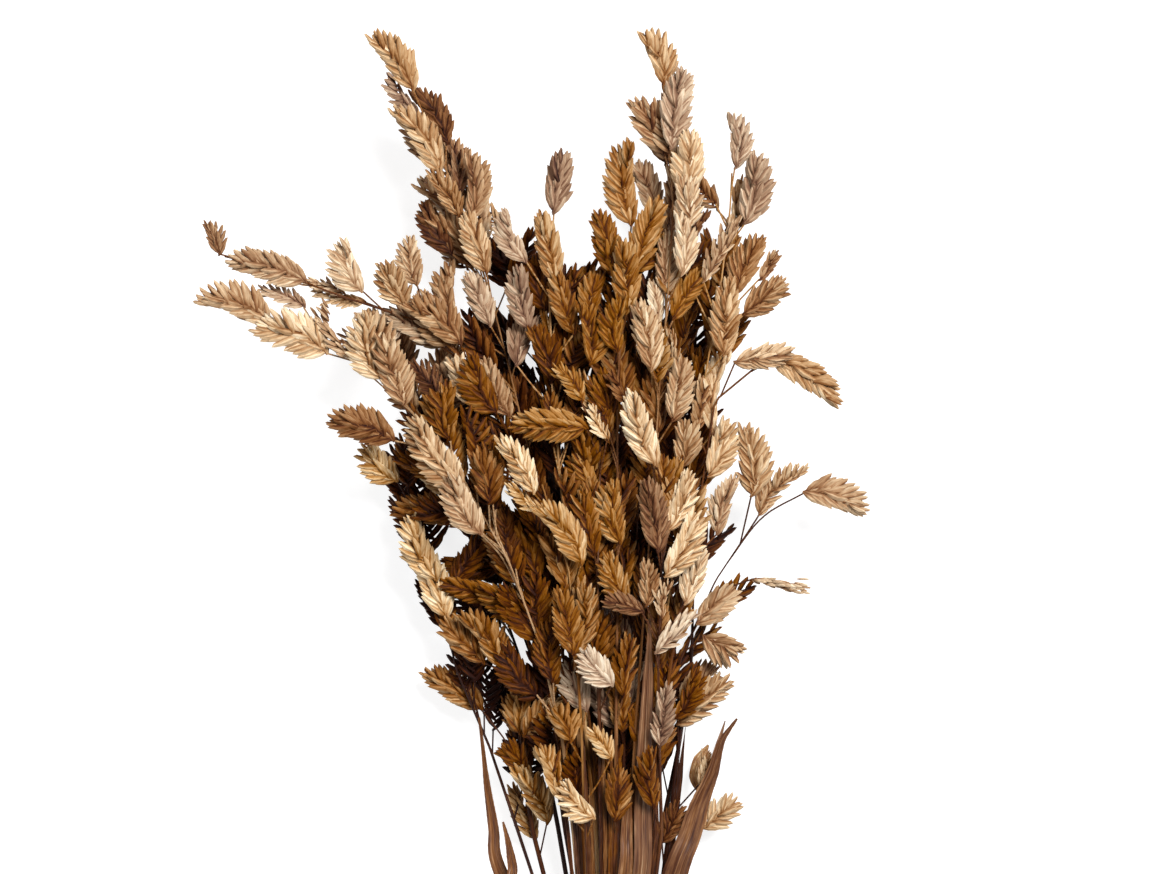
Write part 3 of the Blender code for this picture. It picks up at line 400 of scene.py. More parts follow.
def spikelet_rings(base, tip, roll, width, stations, spare):
    """Rings of four (left, face, right, back) whose edges step out in floret teeth."""
    axis, side, normal = spikelet_axes(base, tip, roll)
    length = (tip - base).length
    half = width * 0.5
    step = 1.0 / (stations + 1)
    rings = []
    for k in range(stations):
        s = (k + 1) * step
        deep = half * THICK_SHARE * table_value(THICK_AT, s)
        wide = half * table_value(WIDTH_AT, min(1.0, s + TOOTH_WIDTH_AT * step))
        left_out = k % 2 == 0
        ring = []
        for sign, out in ((-1.0, left_out), (1.0, not left_out)):
            reach = wide if out else wide * TOOTH_IN
            ahead = s + (TOOTH_AHEAD * step if out else 0.0)
            ring.append(base + side * (sign * (reach + spare)) + axis * (ahead * length))
        face = deep * (1.0 if left_out else TOOTH_FACE) + spare
        back = deep * (TOOTH_FACE if left_out else 1.0) + spare
        middle = base + axis * (s * length)
        rings.append((ring[0], middle + normal * face, ring[1], middle - normal * back))
    point = base + axis * (length + spare)
    return rings, point


def loft_rings(rings, point):
    """Skin over rings of four, the folds running forward and outward, ended in a point."""
    verts = [v for ring in rings for v in ring]
    faces = []
    for k in range(len(rings) - 1):
        for i in range(4):
            j = (i + 1) % 4
            a, b = k * 4 + i, k * 4 + j
            c, d = a + 4, b + 4
            if i % 2 == 0:
                faces.append((a, b, c))
                faces.append((b, d, c))
            else:
                faces.append((a, b, d))
                faces.append((a, d, c))
    top = len(verts)
    verts.append(point)
    low = (len(rings) - 1) * 4
    for i in range(4):
        faces.append((low + i, low + (i + 1) % 4, top))
    faces.append((0, 2, 1))
    faces.append((0, 3, 2))
    return verts, faces


def pedicel_path(start, lead, base, axis):
    """Short stalk: leaves the rachis forward and enters the spikelet along its axis."""
    span = (base - start).length
    if span < SHORT_STALK:
        return [start, base]
    bend = (start + lead * (STALK_BEND * span) + base - axis * (STALK_BEND * span)) * 0.5
    middle = start * 0.25 + bend * 0.5 + base * 0.25
    return [start, middle, base]


def pedicel_rings(path, side, normal, spare):
    rings = []
    radius = PEDICEL_RADIUS + spare
    for point in path:
        rings.append((point - side * radius, point + normal * radius,
                      point + side * radius, point - normal * radius))
    return rings


def tree_of(verts, faces):
    low = [min(v[i] for v in verts) for i in range(3)]
    high = [max(v[i] for v in verts) for i in range(3)]
    return BVHTree.FromPolygons(verts, faces), low, high


def apart(one, other):
    for i in range(3):
        if one[1][i] > other[2][i] or other[1][i] > one[2][i]:
            return True
    return not one[0].overlap(other[0])


def clear_of(shape, placed, skip):
    for owner, other in placed:
        if owner in skip:
            continue
        if not apart(shape, other):
            return False
    return True


# Small changes tried in turn until a spikelet is clear of its neighbours
TRIES = []
for rise_step in range(-RISE_STEPS, RISE_STEPS + 1):
    for roll_step in (0, 1, -1, 2, -2):
        for pitch_step in (0, 1, -1, 2, -2):
            cost = abs(rise_step) + ROLL_COST * abs(roll_step) + NOD_COST * abs(pitch_step)
            TRIES.append((cost, rise_step * RISE_STEP, roll_step * ROLL_STEP,
                          pitch_step * NOD_STEP))
TRIES.sort()


def attach_place(route, base, gap, used):
    """Free point of the rachis from which a stalk can run forward to this base."""
    best = min(range(len(route)), key=lambda k: (route[k].xy - base.xy).length)
    back = min(best, len(route) - 2)
    while back > 1 and ((route[back] - route[best]).length < gap
                        or any((route[back] - u).length < ATTACH_GAP for u in used)):
        back -= 1
    lead = (route[back + 1] - route[back - 1]).normalized()
    return route[back].copy(), lead


def place_spikelet(owner, route, spec, placed, used, resting):
    """Where this spikelet sits, clear of all that is placed before it."""
    x0, y0, x1, y1, width, lift, roll = spec
    width *= WIDTH_GAIN
    away = min((p.xy - Vector((x0, y0))).length for p in route)
    start, lead = attach_place(route, Vector((x0, y0, 0.0)),
                               STALK_GAP + STALK_GAP_SHARE * away, used)
    run = math.hypot(x1 - x0, y1 - y0)
    wanted = width * FULL_LENGTH_TO_WIDTH
    slack = math.sqrt(max(0.0, wanted * wanted - run * run))
    sign = 1.0 if rng.random() < PITCH_UP_CHANCE else -1.0
    pitch0 = rng.uniform(-PITCH_SPREAD, PITCH_SPREAD)
    pitch0 += sign * math.degrees(math.atan2(PITCH_SHARE * slack, run))
    roll0 = roll + rng.uniform(-ROLL_SPREAD, ROLL_SPREAD)
    stations = LONG_STATIONS if run > LONG_SPIKELET else STATIONS
    z0 = start.z + lift
    for shrink in SHRINKS:
        for fussy in (True, False):
            for cost, up, turn, nod in TRIES:
                if resting and up != 0.0:
                    continue
                rise = run * math.tan(math.radians(pitch0 + nod))
                base = Vector((x0, y0, z0 + up))
                tip = Vector((x1, y1, z0 + up + rise))
                tip = base + (tip - base) * (0.5 + 0.5 * shrink)
                angle = math.radians(roll0 + turn)
                rings, point = spikelet_rings(base, tip, angle, width * shrink, stations, SPARE)
                if resting:
                    plain, end = spikelet_rings(base, tip, angle, width * shrink, stations, 0.0)
                    drop = min(min(v.z for ring in plain for v in ring), end.z)
                    shift = Vector((0.0, 0.0, -drop))
                    base = base + shift
                    tip = tip + shift
                    rings, point = spikelet_rings(base, tip, angle, width * shrink, stations, SPARE)
                lowest = min(min(v.z for ring in rings for v in ring), point.z)
                if lowest < SPARE and not resting:
                    continue
                axis, side, normal = spikelet_axes(base, tip, angle)
                path = pedicel_path(start, lead, base + axis * STALK_ROOT, axis)
                foot = pedicel_rings(path[-1:], side, normal, SPARE)
                body = tree_of(*loft_rings(foot + rings, point))
                skip = () if fussy else (owner, owner + " head")
                if not clear_of(body, placed, skip):
                    continue
                stalk = tree_of(*tube(path, [PEDICEL_RADIUS + SPARE] * len(path), 4))
                if stalk[1][2] < 0.0:
                    continue
                if not clear_of(stalk, placed, (owner, owner + " head")):
                    continue
                placed.append((owner + " head", body))
                placed.append((owner + " head", stalk))
                used.append(start)
                return path, base, tip, angle, width * shrink, stations
    return None


def under_specs(name, route):
    """Spikelets set alternately along a stem of the inside or the underside."""
    found = []
    distance = 0.0
    wanted = UNDER_FIRST
    sign = 1.0
    for k in range(len(route) - 1, 1, -1):
        distance += (route[k] - route[k - 1]).length
        if distance < wanted:
            continue
        point = route[k]
        if point.y < UNDER_LAST_Y:
            break
        wanted += UNDER_STEP * rng.uniform(*UNDER_UNEVEN)
        heading = math.atan2(route[k].y - route[k - 2].y, route[k].x - route[k - 2].x)
        heading += sign * math.radians(rng.uniform(*UNDER_TURN))
        away = rng.uniform(*UNDER_AWAY)
        length = rng.uniform(*UNDER_LENGTH)
        x0 = point.x + math.cos(heading) * away
        y0 = point.y + math.sin(heading) * away
        x1 = x0 + math.cos(heading) * length
        y1 = y0 + math.sin(heading) * length
        found.append((x0, y0, x1, y1, rng.uniform(*UNDER_WIDTH), rng.uniform(*UNDER_LIFT),
                      rng.uniform(*UNDER_ROLL)))
        sign = -sign
    return found


def culm_parts(points):
    """Places to fix stalks to, path and radii of a culm, swollen at one knot."""
    fine = smooth_route(points, ROUTE_STEPS)
    knot_y = rng.uniform(KNOT_FROM_Y, KNOT_TO_Y)
    path = [fine[0]]
    radii = [CULM_RADIUS]
    wanted = [knot_y - KNOT_HALF, knot_y, knot_y + KNOT_HALF] + list(CULM_FIXED_Y)
    for point in fine[1:-1]:
        if wanted and point.y >= wanted[0]:
            swell = KNOT_SWELL if wanted[0] == knot_y else 1.0
            path.append(Vector((point.x, wanted[0], point.z)))
            radii.append(CULM_RADIUS * swell)
            wanted.pop(0)
        elif not wanted and (point - path[-1]).length > CULM_SPAN:
            share = min(1.0, max(0.0, (point.y - TAPER_FROM_Y) / TAPER_OVER))
            path.append(point)
            radii.append(CULM_RADIUS + (RACHIS_RADIUS - CULM_RADIUS) * share)
    if (fine[-1] - path[-1]).length < CULM_LAST_SPAN:
        path.pop()
        radii.pop()
    path.append(fine[-1])
    radii.append(RACHIS_RADIUS)
    along = []
    for one, other in zip(path, path[1:]):
        steps = max(1, round((other - one).length / ATTACH_STEP))
        for k in range(steps):
            along.append(one.lerp(other, k / steps))
    along.append(path[-1])
    return along, path, radii


def leaf_loft(points, blade, spare):
    """Thin culm along the points that opens into a creased blade."""
    widths = [None] * (len(points) - len(blade)) + [w for x, y, w in blade]
    verts = []
    faces = []
    sections = []
    for k, point in enumerate(points):
        ahead = (points[min(k + 1, len(points) - 1)] - points[max(k - 1, 0)]).normalized()
        normal = (Vector((0.0, 0.0, 1.0)) - ahead * ahead.z).normalized()
        side = ahead.cross(normal)
        sections.append((point, side, normal, widths[k]))
    for point, side, normal, width in sections:
        if width is None:
            radius = LEAF_CULM_RADIUS + spare
            for turn in (150, 90, 30, -30, -90, -150):
                angle = math.radians(turn)
                verts.append(point + side * (math.cos(angle) * radius)
                             + normal * (math.sin(angle) * radius))
            continue
        half = width * 0.5 + spare
        fold = width * LEAF_FOLD
        for across, up in ((-1, 1), (0, 1), (1, 1), (1, -1), (0, -1), (-1, -1)):
            thick = LEAF_THICK if across == 0 else LEAF_EDGE
            lift = up * (thick + spare) + (fold if across else 0.0)
            verts.append(point + side * (across * half) + normal * lift)
    count = 6
    for k in range(len(sections) - 1):
        for i in range(count):
            a = k * count + i
            b = k * count + (i + 1) % count
            faces.append((a, b, b + count))
            faces.append((a, b + count, a + count))
    last = (len(sections) - 1) * count
    for i in range(1, count - 1):
        faces.append((0, i + 1, i))
        faces.append((last, last + i, last + i + 1))
    return verts, faces


# Husk of one floret, as shares of its length: along, keel out, width, half depth
HUSK_SECTIONS = (
    (0.0, 0.01, 0.1, 0.05), (0.28, 0.13, 0.2, 0.1), (0.6, 0.17, 0.23, 0.115),
    (0.88, 0.09, 0.14, 0.07), (1.0, 0.02, 0.0, 0.0))
HUSK_OUTLINE = ((0.0, 0.0), (0.42, 0.95), (1.0, 0.5), (1.0, -0.5), (0.42, -0.95))
HUSK_LENGTH_SHARE = 0.76
HUSK_SET_OFF = 0.3
HUSK_LEAST_SHARE = 0.27
HUSK_SPACING = 2.1
HIDDEN_SPACING = 3.0
HUSK_LENGTH_AT = ((0.0, 0.8), (0.14, 0.96), (0.4, 1.0), (0.75, 0.95), (1.0, 0.66))
HUSK_ANGLE_AT = ((0.0, 28.0), (0.1, 34.0), (0.3, 32.0), (0.65, 26.0), (0.85, 19.0), (1.0, 8.0))
INNER_ANGLE_SHARE = 0.33
INNER_LENGTH_SHARE = 0.9
INNER_RAISED = 0.5
OPEN_UP = {"stem_left_long": 1.3, "stem_left_arch": 1.15, "stem_centre_front": 1.2,
           "stem_front_left": 1.15, "stem_left_bright": 1.2, "stem_low_right": 1.2,
           "stem_lower_left": 1.15, "stem_right_branch": 1.15}

# Tone of each front spikelet, judged in the order of its stem's list: d dark,
# b brown, m middle, l light, p pale, w whitish; a capital is greyer or rosier
TONE_OF_LETTER = {"d": 0.27, "b": 0.39, "m": 0.5, "l": 0.61, "p": 0.72, "w": 0.87}
TONES = {
    "stem_front_left": "lmbLpppplm", "stem_front_right": "pppdmbPbpMl",
    "stem_left_long": "lpLlpldlbl", "stem_centre_front": "mlpmmbmbP",
    "stem_top_centre": "mmmbbbbb", "stem_top_right": "lLmpppllpll",
    "stem_right": "llpllm", "stem_left_arch": "mlllpllmLpm",
    "stem_upper_left": "LMlMbM", "stem_inner_right": "MbBL",
    "stem_upper_right": "LLmlmmldpm", "stem_left_low": "mmmbbd",
    "stem_far_left": "lMldbmmldmL", "stem_right_branch": "llllpl",
    "stem_low_right": "ldplm", "stem_left_bright": "ppp",
    "stem_lower_left": "mmmbdll", "stem_left_middle": "lbd"}

WARM = ("stem_centre_front", "stem_front_left", "stem_top_centre", "stem_left_low",
        "stem_lower_left", "stem_inner_right", "stem_upper_left", "stem_left_middle",
        "stem_left_bright")

# Reach of the dense part of the head, where deeper spikelets fill in: y, left, right
MASS = ((114, -32, 18), (124, -37, 24), (145, -42, 36), (165, -58, 42), (190, -74, 34),
        (215, -78, 36), (240, -90, 42), (262, -92, 44), (285, -82, 44), (305, -60, 56),
        (322, -48, 56), (334, -28, 52))
LEFT_SPRAY = ((334, -73, -44), (350, -74, -46), (364, -77, -52), (380, -82, -62), (392, -86, -68))
RIGHT_SPRAY = ((336, 14, 38), (350, 27, 38), (366, 27, 38), (372, 12, 33), (392, 15, 31))
LEFT_ARM = ((284, -88, -58), (292, -94, -58), (300, -98, -60), (308, -96, -68), (313, -92, -76))
# Places inside it that the light shows through: x, y, radius
OPENINGS = ((-9, 334, 13), (-74, 288, 8), (-42, 309, 8), (-29, 280, 7), (40, 333, 9),
            (-97, 272, 9), (-62, 212, 9), (-36, 173, 9), (36, 168, 7), (-24, 114, 10),
            (33, 130, 8), (46, 214, 8))
OPENING_CLEAR = 0.8
CELL = 5.0
FILL_LAYERS = 5
FILL_LIFTS = ((-8.0, 4.0), (-8.0, 4.0), (-8.0, 2.0), (-16.0, -4.0), (-22.0, -8.0))
FILL_REACH = 17.0
FILL_TRIES = 90
FILL_WIDTH = (11.0, 13.5)
FILL_LENGTH = (23.0, 28.0)

# Culms grow thinner among the heads than the source's, and some are slim all along
THIN_RADIUS = 0.52
THIN_OVER = 105.0
SLIM = {"stem_left_bright": 0.55, "stem_left_middle": 0.6, "stem_lower_left": 0.75}
SHEATHS = 2
CULM_TONES = (0.16, 0.26, 0.36, 0.46, 0.6)
# Painted shade: culms and their sheaths that lie low in the bunch are painted darker, down to a fifth of
# their tone, over these heights in mm
CULM_SHADE_FULL_Z = 10.0
CULM_SHADE_FADE_OVER = 20.0
CUT_RIM_TONE = 0.86
# Painted shade: a near-black disc stands for the shaded hollow of a cut culm
CUT_HOLLOW_SHADE_TONE = 0.06
CUT_HOLLOW_SHARE = 0.5

# Tubes: sides and rings of the straight pieces that are bent along a route
CULM_FINE_SIDES = 12
CULM_RINGS = 120
STALK_SIDES = 6
STALK_RINGS = 14
STRAND_SIDES = 6
STRAND_RINGS = 96
BLADE_COLUMNS = 8
BLADE_ROWS = 72

draw = random.Random(20251)


def deselect():
    bpy.ops.object.select_all(action="DESELECT")


def name_it(name):
    obj = bpy.context.object
    obj.name = name
    obj.data.name = name
    return obj


def lay_uv(obj, place):
    """Own UV map: u across or round the piece, v along it."""
    layer = obj.data.uv_layers.active or obj.data.uv_layers.new(name="UVMap")
    for loop in obj.data.loops:
        layer.data[loop.index].uv = place(obj.data.vertices[loop.vertex_index].co)


def ready_to_copy(obj):
    """The modelled mesh, taken off its object, with room for each copy's tint."""
    mesh = obj.data
    mesh.attributes.new("tint", "FLOAT_VECTOR", "POINT")
    bpy.data.objects.remove(obj)
    return mesh


def husk_share(y):
    for (y0, k0, w0, d0), (y1, k1, w1, d1) in zip(HUSK_SECTIONS, HUSK_SECTIONS[1:]):
        if y <= y1 + 1e-6:
            share = (y - y0) / (y1 - y0)
            return k0 + (k1 - k0) * share, w0 + (w1 - w0) * share
    return HUSK_SECTIONS[-1][1], HUSK_SECTIONS[-1][2]


def model_husk(name, flare, plump):
    """Keeled husk along +Y: a section extruded to a point, keel towards -X."""
    deselect()
    bpy.ops.mesh.primitive_circle_add(vertices=len(HUSK_OUTLINE), radius=1.0, fill_type="NGON")
    husk = name_it(name)
    width, depth = HUSK_SECTIONS[0][2:]
    for vertex, (across, up) in zip(husk.data.vertices, HUSK_OUTLINE):
        vertex.co = (across * width, 0.0, up * depth * plump)
    bpy.ops.object.mode_set(mode="EDIT")
    bpy.ops.mesh.select_all(action="SELECT")
    for one, other in zip(HUSK_SECTIONS, HUSK_SECTIONS[1:]):
        lean = flare * (other[0] ** 3 - one[0] ** 3)
        bpy.ops.mesh.extrude_region_move(TRANSFORM_OT_translate={
            "value": (one[1] - other[1] - lean, other[0] - one[0], 0.0)})
        keel_x = -other[1] - flare * other[0] ** 3
        bpy.ops.transform.resize(value=(other[2] / one[2], 1.0, other[3] / one[3]),
                                 center_override=(keel_x, other[0], 0.0))
    bpy.ops.mesh.merge(type="CENTER")
    bpy.ops.mesh.select_all(action="SELECT")
    bpy.ops.mesh.normals_make_consistent(inside=False)
    bpy.ops.object.mode_set(mode="OBJECT")
    bpy.ops.object.shade_smooth_by_angle(angle=math.radians(58.0))

    def place(co):
        keel, wide = husk_share(co.y)
        across = (co.x + keel + flare * co.y ** 3) / wide if wide > 1e-6 else 0.5
        return across, co.y
    lay_uv(husk, place)
    return ready_to_copy(husk)


def model_tube(name, sides, rings, rib):
    """Straight tube along +Y from 0 to 1 with a ribbed skin, closed at both ends."""
    deselect()
    bpy.ops.mesh.primitive_circle_add(vertices=sides, radius=1.0, fill_type="NGON",
                                      rotation=(math.pi / 2, 0.0, 0.0))
    bpy.ops.object.transform_apply(location=True, rotation=True, scale=True)
    tube_obj = name_it(name)
    for k, vertex in enumerate(tube_obj.data.vertices):
        vertex.co *= 1.0 - rib * (k % 2)
    bpy.ops.object.mode_set(mode="EDIT")
    bpy.ops.mesh.select_all(action="SELECT")
    for k in range(rings):
        bpy.ops.mesh.extrude_region_move(TRANSFORM_OT_translate={
            "value": (0.0, 1.0 / rings, 0.0)})
    bpy.ops.mesh.select_all(action="SELECT")
    bpy.ops.mesh.normals_make_consistent(inside=False)
    bpy.ops.object.mode_set(mode="OBJECT")
    bpy.ops.object.shade_smooth_by_angle(angle=math.radians(62.0))
    lay_uv(tube_obj, lambda co: (0.5 + math.atan2(co.z, co.x) / (2.0 * math.pi), co.y))
    return ready_to_copy(tube_obj)


def model_blade(name):
    """Straight leaf blade along +Y, creased along its middle, with a thin wall."""
    deselect()
    bpy.ops.mesh.primitive_grid_add(x_subdivisions=BLADE_COLUMNS, y_subdivisions=BLADE_ROWS,
                                    size=2.0)
    blade = name_it(name)
    for vertex in blade.data.vertices:
        x = vertex.co.x
        y = (vertex.co.y + 1.0) * 0.5
        crease = 0.85 * abs(x) + 0.16 * math.sin(9.0 * x)
        vertex.co = (x, y, crease)
    lay_uv(blade, lambda co: (0.5 + 0.5 * co.x, co.y))
    wall = blade.modifiers.new("wall", "SOLIDIFY")
    wall.thickness = 0.34
    wall.offset = 0.0
    bpy.ops.object.modifier_apply(modifier=wall.name)
    bpy.ops.object.shade_smooth_by_angle(angle=math.radians(60.0))
    return ready_to_copy(blade)


def route_frames(route, count):
    """Point, side and normal at count + 1 even places along a route."""
    lengths = [0.0]
    for one, other in zip(route, route[1:]):
        lengths.append(lengths[-1] + (other - one).length)
    frames = []
    normal = Vector((0.0, 0.0, 1.0))
    k = 0
    for i in range(count + 1):
        wanted = lengths[-1] * i / count
        while k < len(route) - 2 and lengths[k + 1] < wanted:
            k += 1
        span = lengths[k + 1] - lengths[k]
        share = (wanted - lengths[k]) / span if span > 0.0 else 0.0
        point = route[k].lerp(route[k + 1], min(1.0, share))
        ahead = (route[k + 1] - route[k]).normalized()
        if k + 2 < len(route):
            ahead = ahead.lerp((route[k + 2] - route[k + 1]).normalized(), share * 0.5)
        if k > 0:
            ahead = ahead.lerp((route[k] - route[k - 1]).normalized(), (1.0 - share) * 0.5)
        ahead.normalize()
        normal = (normal - ahead * ahead.dot(normal)).normalized()
        frames.append((point, ahead.cross(normal), normal))
    return frames


def add_copy(work, modelled, place, tint):
    """A copy of the modelled mesh, set in place, in the mesh that is being gathered."""
    piece = modelled.copy()
    piece.transform(place)
    piece.attributes["tint"].data.foreach_set("vector", tint * len(piece.vertices))
    work.from_mesh(piece)
    bpy.data.meshes.remove(piece)


def add_bent(work, modelled, rings, route, size_at, tint, twist=0.0):
    """A copy of a straight piece bent along a route; size_at gives its width and depth."""
    piece = modelled.copy()
    frames = route_frames(route, rings)
    for vertex in piece.vertices:
        k = round(vertex.co.y * rings)
        point, side, normal = frames[k]
        wide, deep = size_at(k / rings)
        turn = twist * k / rings
        x = vertex.co.x * wide
        z = vertex.co.z * deep
        across = x * math.cos(turn) - z * math.sin(turn)
        up = x * math.sin(turn) + z * math.cos(turn)
        vertex.co = (point + side * across + normal * up) * MM
    piece.attributes["tint"].data.foreach_set("vector", tint * len(piece.vertices))
    work.from_mesh(piece)
    bpy.data.meshes.remove(piece)


def spikelet_matrix(axis, side, normal, base, ahead, out, lean, size, stretch, sign):
    """Place of one husk: its foot on the axis, leaning out to one side."""
    angle = math.radians(lean)
    along = axis * math.cos(angle) + side * (sign * math.sin(angle))
    inward = axis * math.sin(angle) - side * (sign * math.cos(angle))
    face = inward.cross(along)
    foot = base + axis * ahead + side * out
    columns = [inward * size, along * (size * stretch), face * size, foot]
    place = Matrix.Identity(4)
    for i, column in enumerate(columns):
        for j in range(3):
            place[j][i] = column[j] * MM
    return place


def add_spikelet(work, base, tip, angle, width, tone, hue, full, spread):
    """Husks in two ranks along a slightly bowed axis, a full one with inner husks too."""
    axis, side, normal = spikelet_axes(base, tip, angle)
    length = (tip - base).length
    husk_length = max(width * HUSK_LENGTH_SHARE, length * HUSK_LEAST_SHARE)
    closed = min(1.0, width * HUSK_LENGTH_SHARE / husk_length)
    reach = length - husk_length * HUSK_LENGTH_AT[-1][1] * 0.97
    count = 2 * max(4, round(reach / (HUSK_SPACING if full else HIDDEN_SPACING)) + 1)
    bow = draw.uniform(-0.05, 0.05) * length
    arch = draw.uniform(-0.03, 0.03) * length
    open_up = draw.uniform(0.85, 1.1) * closed * spread
    uneven = draw.uniform(-0.22, 0.22)
    fan = (open_up * (1.0 + uneven), open_up * (1.0 - uneven))
    paler = draw.uniform(-0.05, 0.05)
    ranks = [(k, k / (count - 1), False) for k in range(count)]
    if full:
        ranks += [(k, (k + 0.9) / (count + 0.5), True) for k in range(count - 1)]
    for k, t, inner in ranks:
        sign = 1.0 if k % 2 == 0 else -1.0
        lean = table_value(HUSK_ANGLE_AT, t) * fan[k % 2] + draw.gauss(0.0, 1.3)
        size = husk_length * table_value(HUSK_LENGTH_AT, t) * draw.uniform(0.94, 1.03)
        if inner:
            lean *= INNER_ANGLE_SHARE
            size *= INNER_LENGTH_SHARE
        curve = 4.0 * t * (1.0 - t)
        turned = math.radians(draw.gauss(0.0, 5.0))
        nod = math.radians(draw.gauss(0.0, 4.0)) + arch / length * 3.0 * (1.0 - 2.0 * t)
        axis_here = (axis + side * (bow / length * 4.0 * (1.0 - 2.0 * t))
                     + normal * nod).normalized()
        side_here = (side - axis_here * axis_here.dot(side)).normalized()
        normal_here = axis_here.cross(side_here)
        side_here = side_here * math.cos(turned) + normal_here * math.sin(turned)
        normal_here = axis_here.cross(side_here)
        set_off = HUSK_SET_OFF * (1.0 if k % 4 < 2 else -1.0)
        if inner:
            set_off = INNER_RAISED * (1.0 if k % 4 < 2 else -1.0)
        foot = base + normal * (arch * curve + set_off)
        place = spikelet_matrix(axis_here, side_here, normal_here, foot, t * reach, bow * curve,
                                lean, size, draw.uniform(0.95, 1.06), sign)
        tint = (tone + sign * paler + draw.gauss(0.0, 0.06), hue, draw.random())
        add_copy(work, draw.choice(husks), place, tint)


def new_piece(name, work, materials):
    mesh = bpy.data.meshes.new(name)
    work.to_mesh(mesh)
    work.free()
    piece = bpy.data.objects.new(name, mesh)
    bpy.context.scene.collection.objects.link(piece)
    for made in materials:
        mesh.materials.append(made)
    return piece


def set_material(work, first_face, index):
    """Gives the faces gathered since first_face this material."""
    work.faces.ensure_lookup_table()
    for face in work.faces[first_face:]:
        face.material_index = index


def start_material(name):
    made = bpy.data.materials.new(name)
    made.use_nodes = True
    tree = made.node_tree
    return made, tree, tree.nodes["Principled BSDF"]


def add_node(tree, kind, settings=(), **inputs):
    node = tree.nodes.new(kind)
    for key, value in dict(settings).items():
        setattr(node, key, value)
    for key, value in inputs.items():
        socket = node.inputs[int(key[1:])] if key[0] == "i" and key[1:].isdigit() else None
        socket = socket or node.inputs[key.replace("_", " ")]
        if isinstance(value, bpy.types.NodeSocket):
            tree.links.new(value, socket)
        else:
            socket.default_value = value
    return node


def math_node(tree, operation, one, other=0.0, clamp=False):
    return add_node(tree, "ShaderNodeMath", {"operation": operation, "use_clamp": clamp},
                    i0=one, i1=other).outputs[0]


def ramp_node(tree, factor, stops):
    ramp = add_node(tree, "ShaderNodeValToRGB", i0=factor)
    elements = ramp.color_ramp.elements
    while len(elements) < len(stops):
        elements.new(0.5)
    for element, (place, color) in zip(elements, stops):
        element.position = place
        element.color = (*color, 1.0) if len(color) == 3 else color
    return ramp.outputs[0]


def step_node(tree, value, low, high):
    """0 below low, 1 above high, smooth between."""
    return add_node(tree, "ShaderNodeMapRange", {"interpolation_type": "SMOOTHSTEP"},
                    Value=value, From_Min=low, From_Max=high).outputs[0]


DRY_STOPS = ((0.0, (0.016, 0.0025, 0.0005)), (0.2, (0.064, 0.0155, 0.002)),
             (0.4, (0.17, 0.063, 0.015)), (0.6, (0.34, 0.185, 0.08)),
             (0.8, (0.56, 0.395, 0.23)), (1.0, (0.82, 0.695, 0.5)))


def dry_color(tree, tone, hue):
    """Dry straw from dark brown to pale; hue moves it from warm to grey and rose."""
    straw = ramp_node(tree, tone, DRY_STOPS)
    less = math_node(tree, "SUBTRACT", 1.15, math_node(tree, "MULTIPLY", hue, 0.4))
    return add_node(tree, "ShaderNodeHueSaturation", Saturation=less, Color=straw).outputs[0]


def read_tint(tree):
    tint = add_node(tree, "ShaderNodeAttribute", {"attribute_name": "tint"}).outputs["Vector"]
    return add_node(tree, "ShaderNodeSeparateXYZ", i0=tint).outputs


def read_uv(tree):
    uv = add_node(tree, "ShaderNodeUVMap", {"uv_map": "UVMap"}).outputs[0]
    return uv, add_node(tree, "ShaderNodeSeparateXYZ", i0=uv).outputs


def stretched_noise(tree, uv, chance, across, along, detail):
    """Streaks along the piece, different on each copy."""
    scaled = add_node(tree, "ShaderNodeMapping", Vector=uv, Scale=(across, along, 1.0)).outputs[0]
    shift = math_node(tree, "MULTIPLY", chance, 40.0)
    apart_by = add_node(tree, "ShaderNodeCombineXYZ", Z=shift).outputs[0]
    where = add_node(tree, "ShaderNodeVectorMath", {"operation": "ADD"}, i0=scaled,
                     i1=apart_by).outputs[0]
    return add_node(tree, "ShaderNodeTexNoise", Vector=where, Scale=1.0, Detail=detail,
                    Roughness=0.6).outputs[0]


def husk_finish():
    made, tree, shader = start_material("husk")
    tint = read_tint(tree)
    uv, place = read_uv(tree)
    nerves = stretched_noise(tree, uv, tint[2], 15.0, 1.1, 2.0)
    mottle = stretched_noise(tree, uv, tint[2], 2.2, 2.6, 3.0)
    # Painted light on each husk: a painted highlight along its outer keel edge, painted shade along its inner
    # margin where the next husk lies over it, and painted shade at its foot
    keel = step_node(tree, place[0], 0.22, 0.02)
    margin_painted_shade = step_node(tree, place[0], 0.62, 1.0)
    foot = step_node(tree, place[1], 0.42, 0.1)
    tip = step_node(tree, place[1], 0.6, 1.0)
    tone = tint[0]
    for part, weight in ((keel, 0.1), (margin_painted_shade, -0.22), (foot, -0.2), (tip, 0.04)):
        tone = math_node(tree, "ADD", tone, math_node(tree, "MULTIPLY", part, weight))
    for noise, weight in ((nerves, 0.4), (mottle, 0.42)):
        part = math_node(tree, "SUBTRACT", noise, 0.5)
        tone = math_node(tree, "ADD", tone, math_node(tree, "MULTIPLY", part, weight))
    tone = math_node(tree, "ADD", tone, 0.06, clamp=True)
    tree.links.new(dry_color(tree, tone, tint[1]), shader.inputs["Base Color"])
    bump = add_node(tree, "ShaderNodeBump", Strength=0.5, Distance=0.0003, Height=nerves)
    tree.links.new(bump.outputs[0], shader.inputs["Normal"])
    shader.inputs["Roughness"].default_value = 0.6
    shader.inputs["Specular IOR Level"].default_value = 0.1
    return made


